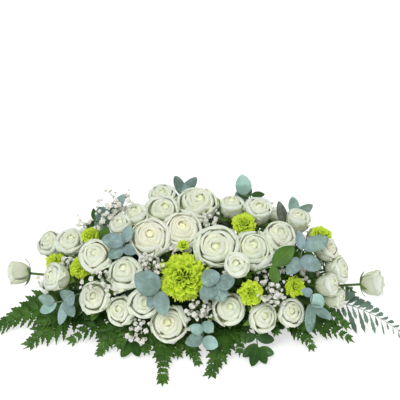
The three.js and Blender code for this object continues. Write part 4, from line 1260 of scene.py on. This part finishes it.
def carnation_petal():
    t = Tree("carnation_petal")
    along, across, layer, chance = t.marks()
    colour = t.mix(t.span(chance, 0.0, 1.0, 0.0, 0.7), (0.50, 0.71, 0.010), (0.66, 0.83, 0.014))
    colour = t.mix(t.span(along, 0.85, 1.0, 0.0, 0.45), colour, (0.74, 0.85, 0.10))
    foot = t.math("POWER", t.math("SUBTRACT", 1.0, along, True), 1.2)
    colour = t.mix(t.times(foot, 0.8), colour, (0.16, 0.30, 0.02))
    veins = t.streaks(2.4, (along, 1.5), (across, 12.0), (chance, 40.0))
    colour = t.mix(t.span(veins, 0.4, 0.75, 0.0, 0.25), colour, (0.30, 0.46, 0.03))
    t.bump(veins, 0.3, 0.0006)
    rough = t.span(t.noise(90, 2), 0.3, 0.7, 0.55, 0.7)
    return t.finish(colour, rough, 0.15, (0.8, 1.0, 0.2), 0.002, Sheen_Weight=0.06)


def leaf_material(name, low, high, vein, pale, rough, ribs=9.0, bloom=0.25, coat=0.0, patch=None):
    """Leaf with a paler rib and side veins. low and high are its two tones, pale the odd leaf's.
    A leaf marked with layer 2 is a dry brown one."""
    t = Tree(name)
    along, across, layer, chance = t.marks()
    tone = t.times(t.math("MINIMUM", layer, 1.0), 0.75)
    tone = t.math("ADD", tone, t.times(chance, 0.25))
    colour = t.mix(tone, low, high)
    if patch:
        spot = t.times(t.span(t.noise(22, 2), 0.42, 0.62), t.span(chance, 0.2, 0.9, 0.2, 0.8))
        colour = t.mix(spot, colour, patch)
    colour = t.mix(t.span(layer, 0.78, 1.0), colour, pale)
    colour = t.mix(t.span(layer, 1.2, 2.0), colour, (0.19, 0.155, 0.135))
    aside = t.math("ABSOLUTE", across)
    slant = t.math("ADD", t.times(along, ribs), t.times(aside, -0.32 * ribs))
    side = t.math("ABSOLUTE", t.math("SUBTRACT", t.math("FRACT", slant), 0.5))
    lines = t.times(t.span(side, 0.42, 0.5), t.span(aside, 0.95, 0.6))
    rib = t.math("MAXIMUM", t.span(aside, 0.09, 0.02), t.times(lines, 0.45))
    colour = t.mix(t.times(rib, 0.5), colour, vein)
    dust = t.span(t.noise(120, 5, rough=0.75), 0.42, 0.66, 0.0, bloom)
    colour = t.mix(dust, colour, tuple(min(1.0, 1.35 * c + 0.01) for c in high))
    shade = t.span(t.noise(38, 2), 0.35, 0.65, 0.0, 0.45)
    colour = t.mix(shade, colour, dimmed(low, 0.6))
    edge = t.times(t.span(aside, 0.86, 1.0), t.span(t.noise(70, 2), 0.45, 0.75, 0.0, 0.4))
    colour = t.mix(edge, colour, dimmed(low, 0.55))
    t.bump(t.math("ADD", t.times(rib, -0.8), t.noise(300, 2)), 0.3, 0.0005)
    rough = t.span(t.noise(120, 2), 0.3, 0.7, rough - 0.07, rough + 0.07)
    return t.finish(colour, rough, Specular_IOR_Level=0.25, Coat_Weight=coat, Coat_Roughness=0.3)


def stem_material(name, low, high):
    t = Tree(name)
    along, across, *_ = t.marks()
    place = t.noise(55, 3)
    colour = t.mix(t.span(place, 0.35, 0.7), low, high)
    fibre = t.streaks(3.0, (along, 2.0), (across, 10.0), (place, 1.0))
    colour = t.mix(t.span(fibre, 0.45, 0.75, 0.0, 0.35), colour, dimmed(low, 0.5))
    t.bump(fibre, 0.35, 0.0006)
    return t.finish(colour, t.span(fibre, 0.3, 0.7, 0.42, 0.6), 0.05, (0.5, 1.0, 0.3), 0.001)


def blossom_material():
    t = Tree("tiny_blossom")
    along, _, _, chance = t.marks()
    colour = t.mix(t.span(chance, 0.0, 1.0, 0.0, 0.6), (0.94, 0.94, 0.89), (0.86, 0.84, 0.73))
    foot = t.math("POWER", t.math("SUBTRACT", 1.0, along, True), 1.5)
    colour = t.mix(t.times(foot, 0.8), colour, (0.45, 0.44, 0.26))
    grain = t.noise(700, 2)
    colour = t.mix(t.span(grain, 0.5, 0.8, 0.0, 0.25), colour, (0.62, 0.58, 0.46))
    t.bump(grain, 0.3, 0.0004)
    return t.finish(colour, t.span(grain, 0.3, 0.7, 0.6, 0.75), 0.12, (1.0, 0.9, 0.7), 0.001)


def foam_material():
    t = Tree("foam")
    fine = t.cells(900)
    wet = t.noise(18, 3)
    # the green of wet foam, painted darker: painted shade for the gaps between the blooms
    colour = t.mix(t.span(wet, 0.35, 0.7), (0.022, 0.070, 0.030), (0.05, 0.125, 0.055))
    colour = t.mix(t.span(fine, 0.0, 0.55, 0.45, 0.0), colour, (0.010, 0.032, 0.014))
    t.bump(t.math("ADD", fine, t.times(t.noise(160, 3), 0.7)), 0.5, 0.0015)
    return t.finish(colour, t.span(wet, 0.35, 0.7, 0.85, 0.97))


def tray_material():
    t = Tree("tray")
    grain = t.noise(650, 2)
    scuff = t.noise(9, 5, rough=0.7)
    colour = t.mix(t.span(scuff, 0.4, 0.75), (0.012, 0.045, 0.022), (0.026, 0.072, 0.038))
    t.bump(grain, 0.15, 0.0004)
    rough = t.span(scuff, 0.35, 0.75, 0.36, 0.55)
    return t.finish(colour, rough, Coat_Weight=0.12, Coat_Roughness=0.35)


ROSE = rose_petal()
CARNATION = carnation_petal()
# Leaves: two tones, the veins' and the odd paler leaf's, and how rough they are
GREEN = leaf_material("stem_green", (0.040, 0.115, 0.012), (0.085, 0.190, 0.022),
                      (0.15, 0.26, 0.05), (0.15, 0.27, 0.03), 0.5)
GUM = leaf_material("eucalyptus_leaf", (0.105, 0.180, 0.140), (0.290, 0.420, 0.370),
                    (0.38, 0.51, 0.43), (0.370, 0.580, 0.520), 0.55, ribs=7.0, bloom=0.5,
                    patch=(0.265, 0.365, 0.430))
TWIG = stem_material("eucalyptus_stem", (0.12, 0.13, 0.07), (0.18, 0.22, 0.14))
FERN = leaf_material("fern_leaf", (0.019, 0.072, 0.006), (0.085, 0.200, 0.020),
                     (0.08, 0.19, 0.04), (0.06, 0.17, 0.03), 0.5, ribs=5.0, bloom=0.15)
DUSTY = leaf_material("dusty_leaf", (0.075, 0.140, 0.095), (0.190, 0.290, 0.215),
                      (0.24, 0.34, 0.26), (0.20, 0.30, 0.22), 0.6, ribs=5.0)
DARK = leaf_material("dark_leaf", (0.018, 0.066, 0.010), (0.062, 0.170, 0.026),
                     (0.10, 0.21, 0.05), (0.07, 0.17, 0.03), 0.45, bloom=0.08, coat=0.08)
TINY = blossom_material()

for node, material in (("foam", foam_material()), ("tray", tray_material())):
    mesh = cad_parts[node].data
    mesh.materials.clear()
    mesh.materials.append(material)


# Camera
def camera():
    data = bpy.data.cameras.new("camera")
    data.sensor_width = SENSOR
    data.lens = LENS
    data.clip_end = 50
    obj = placed("camera", data)
    obj.location = EYE / 1000
    obj.rotation_euler = (math.radians(90 - DOWN), 0, 0)
    bpy.context.scene.camera = obj


EYE = v3(CAMERA_AT)
LOOK = v3([0, math.cos(math.radians(DOWN)), -math.sin(math.radians(DOWN))])
RISE = v3([0, math.sin(math.radians(DOWN)), math.cos(math.radians(DOWN))])
FOCUS = PICTURE * LENS / SENSOR
MIDDLE = PICTURE / 2
camera()


def seen_at(p):
    """Where a point lands in the picture, and how far it is."""
    d = p - EYE
    far = d @ LOOK
    return MIDDLE + FOCUS * d[0] / far, MIDDLE - FOCUS * (d @ RISE) / far, far


def at_seen(x, y, far):
    """The point that lands at x, y in the picture, that far away."""
    aside = v3([1, 0, 0]) * (x - MIDDLE) / FOCUS
    return EYE + far * (LOOK + aside - RISE * (y - MIDDLE) / FOCUS)


# The pieces, in the order in which the solids take their places
all_heads = []
stem_paths = []
for table, shape_of in ((ROSE_STEMS, rose_shape), (CARNATION_STEMS, carnation_shape)):
    for name, rows in table.items():
        for row in rows:
            head = plan(row, shape_of)
            room.take([(head["at"], head["size"] * HEAD_ROOM)], name)
            all_heads.append(head)

for index, (name, rows) in enumerate(ROSE_STEMS.items()):
    petals, green = Bag(), Bag()
    rng = np.random.default_rng(100 + index)
    heads = flower_stem(name, rows, rose_shape, rose, petals, green, rng)
    if name in ROSE_LEAVES:
        places, blades = ROSE_LEAVES[name]
        stalk = [v3(p) for p in places]
        path = heads[0]["path"]
        tube(green, rounded([lerp(path[0], path[1], 0.9), *stalk]), SPRIG_RADIUS, 6)
        room.take(along_path(stalk, SPRIG_RADIUS), name)
        for tip, wide in blades:
            leaf = leaf_plan(stalk[-1], v3(tip), wide, FRONT)
            blade(green, leaf, rng, 0.9, 0.72, 0.6, 11, 21, toothed=0.025)
            room.take(leaf_samples(leaf), name)
    petals.piece(name + "_petals", "rose_petal", ROSE, name)
    green.piece(name + "_green", "stem_green", GREEN, name)

for index, (name, rows) in enumerate(CARNATION_STEMS.items()):
    petals, green = Bag(), Bag()
    rng = np.random.default_rng(200 + index)
    flower_stem(name, rows, carnation_shape, carnation, petals, green, rng)
    petals.piece(name + "_petals", "carnation_petal", CARNATION, name)
    green.piece(name + "_green", "stem_green", GREEN, name)

for index, (name, row) in enumerate(FERNS.items()):
    bag = Bag()
    fern(bag, name, row, np.random.default_rng(300 + index))
    bag.piece(name + "_fronds", "fern_leaf", FERN, name)

bag = Bag()
fern(bag, "dusty_fern", DUSTY_FERN, np.random.default_rng(320), feather)
bag.piece("dusty_fern_frond", "dusty_leaf", DUSTY, "dusty_fern")

for index, (name, (root, places, specs)) in enumerate(PITTOSPORUM.items()):
    leaves = Bag()
    rng = np.random.default_rng(330 + index)
    sprig(name, root, places, specs, FRONT, leaves, leaves, rng, 0.95, 0.6)
    leaves.piece(name + "_leaves", "dark_leaf", DARK, name)

for index, (name, (places, specs)) in enumerate(EUCALYPTUS.items()):
    leaves, stems = Bag(), Bag()
    face = BACK if name == EUCALYPTUS_AT_BACK else FRONT
    rng = np.random.default_rng(340 + index)
    sprig(name, None, places, specs, face, leaves, stems, rng, 0.93, 0.62)
    leaves.piece(name + "_leaves", "eucalyptus_leaf", GUM, name)
    stems.piece(name + "_stem", "eucalyptus_stem", TWIG, name)

for index, (name, row) in enumerate(SPRAYS.items()):
    blooms, stalks = Bag(), Bag()
    spray(name, row, 11 + 7 * index, blooms, stalks, np.random.default_rng(360 + index))
    blooms.piece(name + "_blooms", "tiny_blossom", TINY, name)
    stalks.piece(name + "_stalks", "stem_green", GREEN, name)


# What only the scene has
def depth_at(x, y):
    """How far away the blooms round a place in the picture are, without those at the back."""
    shares, sums = 0.0, 0.0
    for head in all_heads:
        hx, hy, far = seen_at(head["at"])
        if head["at"][1] > 70:
            continue
        share = 1 / (25 + (hx - x) ** 2 + (hy - y) ** 2) ** 1.5
        shares += share
        sums += share * far
    return sums / shares


def filler(blooms, stalks, rng):
    """Groups of tiny blossoms at the depth of the blooms round them, each on its own stalk."""
    for number, (left, right, high, low, count) in enumerate(FILLER):
        x, y = (left + right) / 2, (high + low) / 2
        hub = at_seen(x, y, depth_at(x, y) + FILLER_BEHIND)
        name = "filler_%d" % number
        path = stalk_to(hub, 0.9, name, STALK_BEND)
        tube(stalks, rounded(path), 0.8, 5)
        made = 0
        for _ in range(count * FILLER_TRIES):
            if made >= count:
                break
            px, py = rng.uniform(left, right), rng.uniform(high, low)
            centre = at_seen(px, py, depth_at(px, py) + rng.uniform(-22, 16))
            size = rng.uniform(4.0, 6.2)
            start = lerp(path[1], hub, rng.uniform(0.6, 1.0))
            samples = [*along_path([start, centre], 0.5, 0.2), (centre, size)]
            if room.crowding(samples, name):
                continue
            cluster(blooms, stalks, start, centre, size, rng, 1)
            room.take([(centre, size)], "filler blossom %d %d" % (number, made))
            made += 1


def collar(leaves, rng):
    """Dark leaves that hide the foam between the stems: by turns one on top of it, or at its side
    where the draw is high, and one that hangs round it like a skirt."""
    made = 0
    for attempt in range(COLLAR_DRAWS):
        if made >= COLLAR_LEAVES:
            break
        turn = rng.uniform(0, 2 * math.pi)
        out = v3([math.cos(turn), math.sin(turn), 0])
        reach = min(COLLAR_HALF_X / max(abs(out[0]), 1e-6), COLLAR_HALF_Y / max(abs(out[1]), 1e-6))
        spread = math.sqrt(rng.uniform(0.05, 1))
        skirt = attempt % 2 == 1
        if skirt:
            spread = 1.0
        start = out * reach * spread
        top = spread < 0.9
        start[2] = 78 if top else rng.uniform(34, 76)
        start = start * v3([0.97, 0.95, 1])
        x, y = start[0] / COLLAR_HALF_X, start[1] / COLLAR_HALF_Y
        if skirt:
            way = v3([x * 0.9, y * 0.9, rng.uniform(-0.45, 0.1)])
            way = unit(way + rng.normal(0, 0.22, 3))
            long = rng.uniform(46, 96)
            face = v3([way[0] * 0.5, math.copysign(0.6, way[1]), 0.8])
        else:
            way = v3([x * 1.1, y * 0.8, 0.9 if top else 0.25])
            way = unit(way + rng.normal(0, 0.3, 3))
            long = rng.uniform(42, 88)
            face = v3([way[0], way[1] - 0.2, 0.9])
        bend = start + way * long * 0.45
        tip = start + way * long
        leaf = leaf_plan(bend, tip, long * rng.uniform(0.26, 0.36), face)
        if abs(tip[0]) > COLLAR_REACH_X or abs(tip[1]) > COLLAR_REACH_Y:
            continue
        if tip[2] < COLLAR_LOW or tip[2] > COLLAR_HIGH:
            continue
        samples = [*along_path([start, bend], 0.8, 0.4), *leaf_samples(leaf)]
        if room.crowding(samples, "collar"):
            continue
        stalk = [start - way * 6, lerp(start, bend, 0.5), bend + way * 2]
        tube(leaves, stalk, [0.9, 0.8, 0.6], 5, STALK_MARK)
        blade(leaves, leaf, rng, 0.9, 0.75, rng.uniform(0, 1), 5, 9, LEAF, 0.1, 0.06)
        room.take(samples[-6:], "collar %d" % made)
        made += 1


def backing(leaves, rng):
    """Leaves in threes deep between the blooms, each three on a stalk."""
    for number, (x, y, behind, long) in enumerate(BACKING):
        hub = at_seen(x, y, depth_at(x, y) + behind)
        path = stalk_to(hub, 1.0, "backing_%d" % number, STALK_BEND)
        tube(leaves, rounded(path), 0.9, 5, STALK_MARK)
        turn = rng.uniform(0, 2 * math.pi)
        for k in range(3):
            a = turn + 2 * math.pi * k / 3 + 0.3 * rng.normal()
            tip = hub + long * (v3([math.cos(a), 0, 0]) + RISE * math.sin(a))
            tip = tip + LOOK * rng.uniform(-3, 6)
            leaf = leaf_plan(hub, tip, long * 0.5, v3([0, -0.8, 0.5]) + 0.2 * rng.normal(0, 1, 3))
            blade(leaves, leaf, rng, 0.9, 0.75, rng.uniform(0, 0.6), 5, 11, LEAF, 0.1, 0.04)


blooms, stalks = Bag(), Bag()
filler(blooms, stalks, np.random.default_rng(370))
for index, row in enumerate(MORE_SPRAYS):
    rng = np.random.default_rng(400 + index)
    spray("more_%d" % index, row, 91 + 7 * index, blooms, stalks, rng)
blooms.piece("filler_blooms", "tiny_blossom", TINY)
stalks.piece("filler_stalks", "stem_green", GREEN)

leaves = Bag()
stem_leaves(leaves, stem_paths, np.random.default_rng(375))
leaves.piece("stem_leaves", "stem_green", GREEN)

leaves = Bag()
collar(leaves, np.random.default_rng(380))
backing(leaves, np.random.default_rng(385))
leaves.piece("collar_leaves", "dark_leaf", DARK)

fronds = Bag()
rng = np.random.default_rng(390)
for spec in MORE_FRONDS:
    row = frond_row(*spec)
    x, y, z = row["via"]
    start = v3([max(-146, min(146, x * 0.74)), max(-49, min(49, y * 0.6)), min(72, z + 4)])
    frond(fronds, start, row, rng)
fronds.piece("short_fronds", "fern_leaf", FERN)


# Floor and light, in metres and watts
FLOOR_HALF = 14.0
FLOOR_LOW = -0.0003
LAMPS = [("key", (-0.7, -2.1, 2.3), 1.4, 53), ("fill", (1.6, -1.2, 2.0), 1.8, 10),
         ("back", (0.5, 2.2, 2.0), 2.0, 22)]
LAMP_AIM = (0, 0, 0.1)
SKY = (0.97, 0.985, 1.0, 1.0)
SKY_POWER = 0.47


def floor():
    mesh = bpy.data.meshes.new("floor")
    corners = [(-1, -1), (1, -1), (1, 1), (-1, 1)]
    mesh.from_pydata([(x * FLOOR_HALF, y * FLOOR_HALF, FLOOR_LOW) for x, y in corners], [],
                     [(0, 1, 2, 3)])
    t = Tree("floor")
    pale = t.mix(t.span(t.noise(3, 2), 0.3, 0.7), (0.58, 0.58, 0.58), (0.60, 0.60, 0.60))
    mesh.materials.append(t.finish(pale, 0.9, Emission_Color=(1, 1, 1), Emission_Strength=0.6))
    obj = placed("floor", mesh)


def lamp(name, place, size, power):
    data = bpy.data.lights.new(name, "AREA")
    data.shape = "DISK"
    data.size = size
    data.energy = power
    obj = placed(name, data)
    obj.location = place
    obj.rotation_euler = (Vector(LAMP_AIM) - Vector(place)).to_track_quat("-Z", "Y").to_euler()


floor()
for row in LAMPS:
    lamp(*row)
world = bpy.data.worlds.new("studio")
world.use_nodes = True
sky = world.node_tree.nodes["Background"]
sky.inputs["Color"].default_value = SKY
sky.inputs["Strength"].default_value = SKY_POWER
bpy.context.scene.world = world
bpy.context.scene.view_settings.view_transform = "Standard"
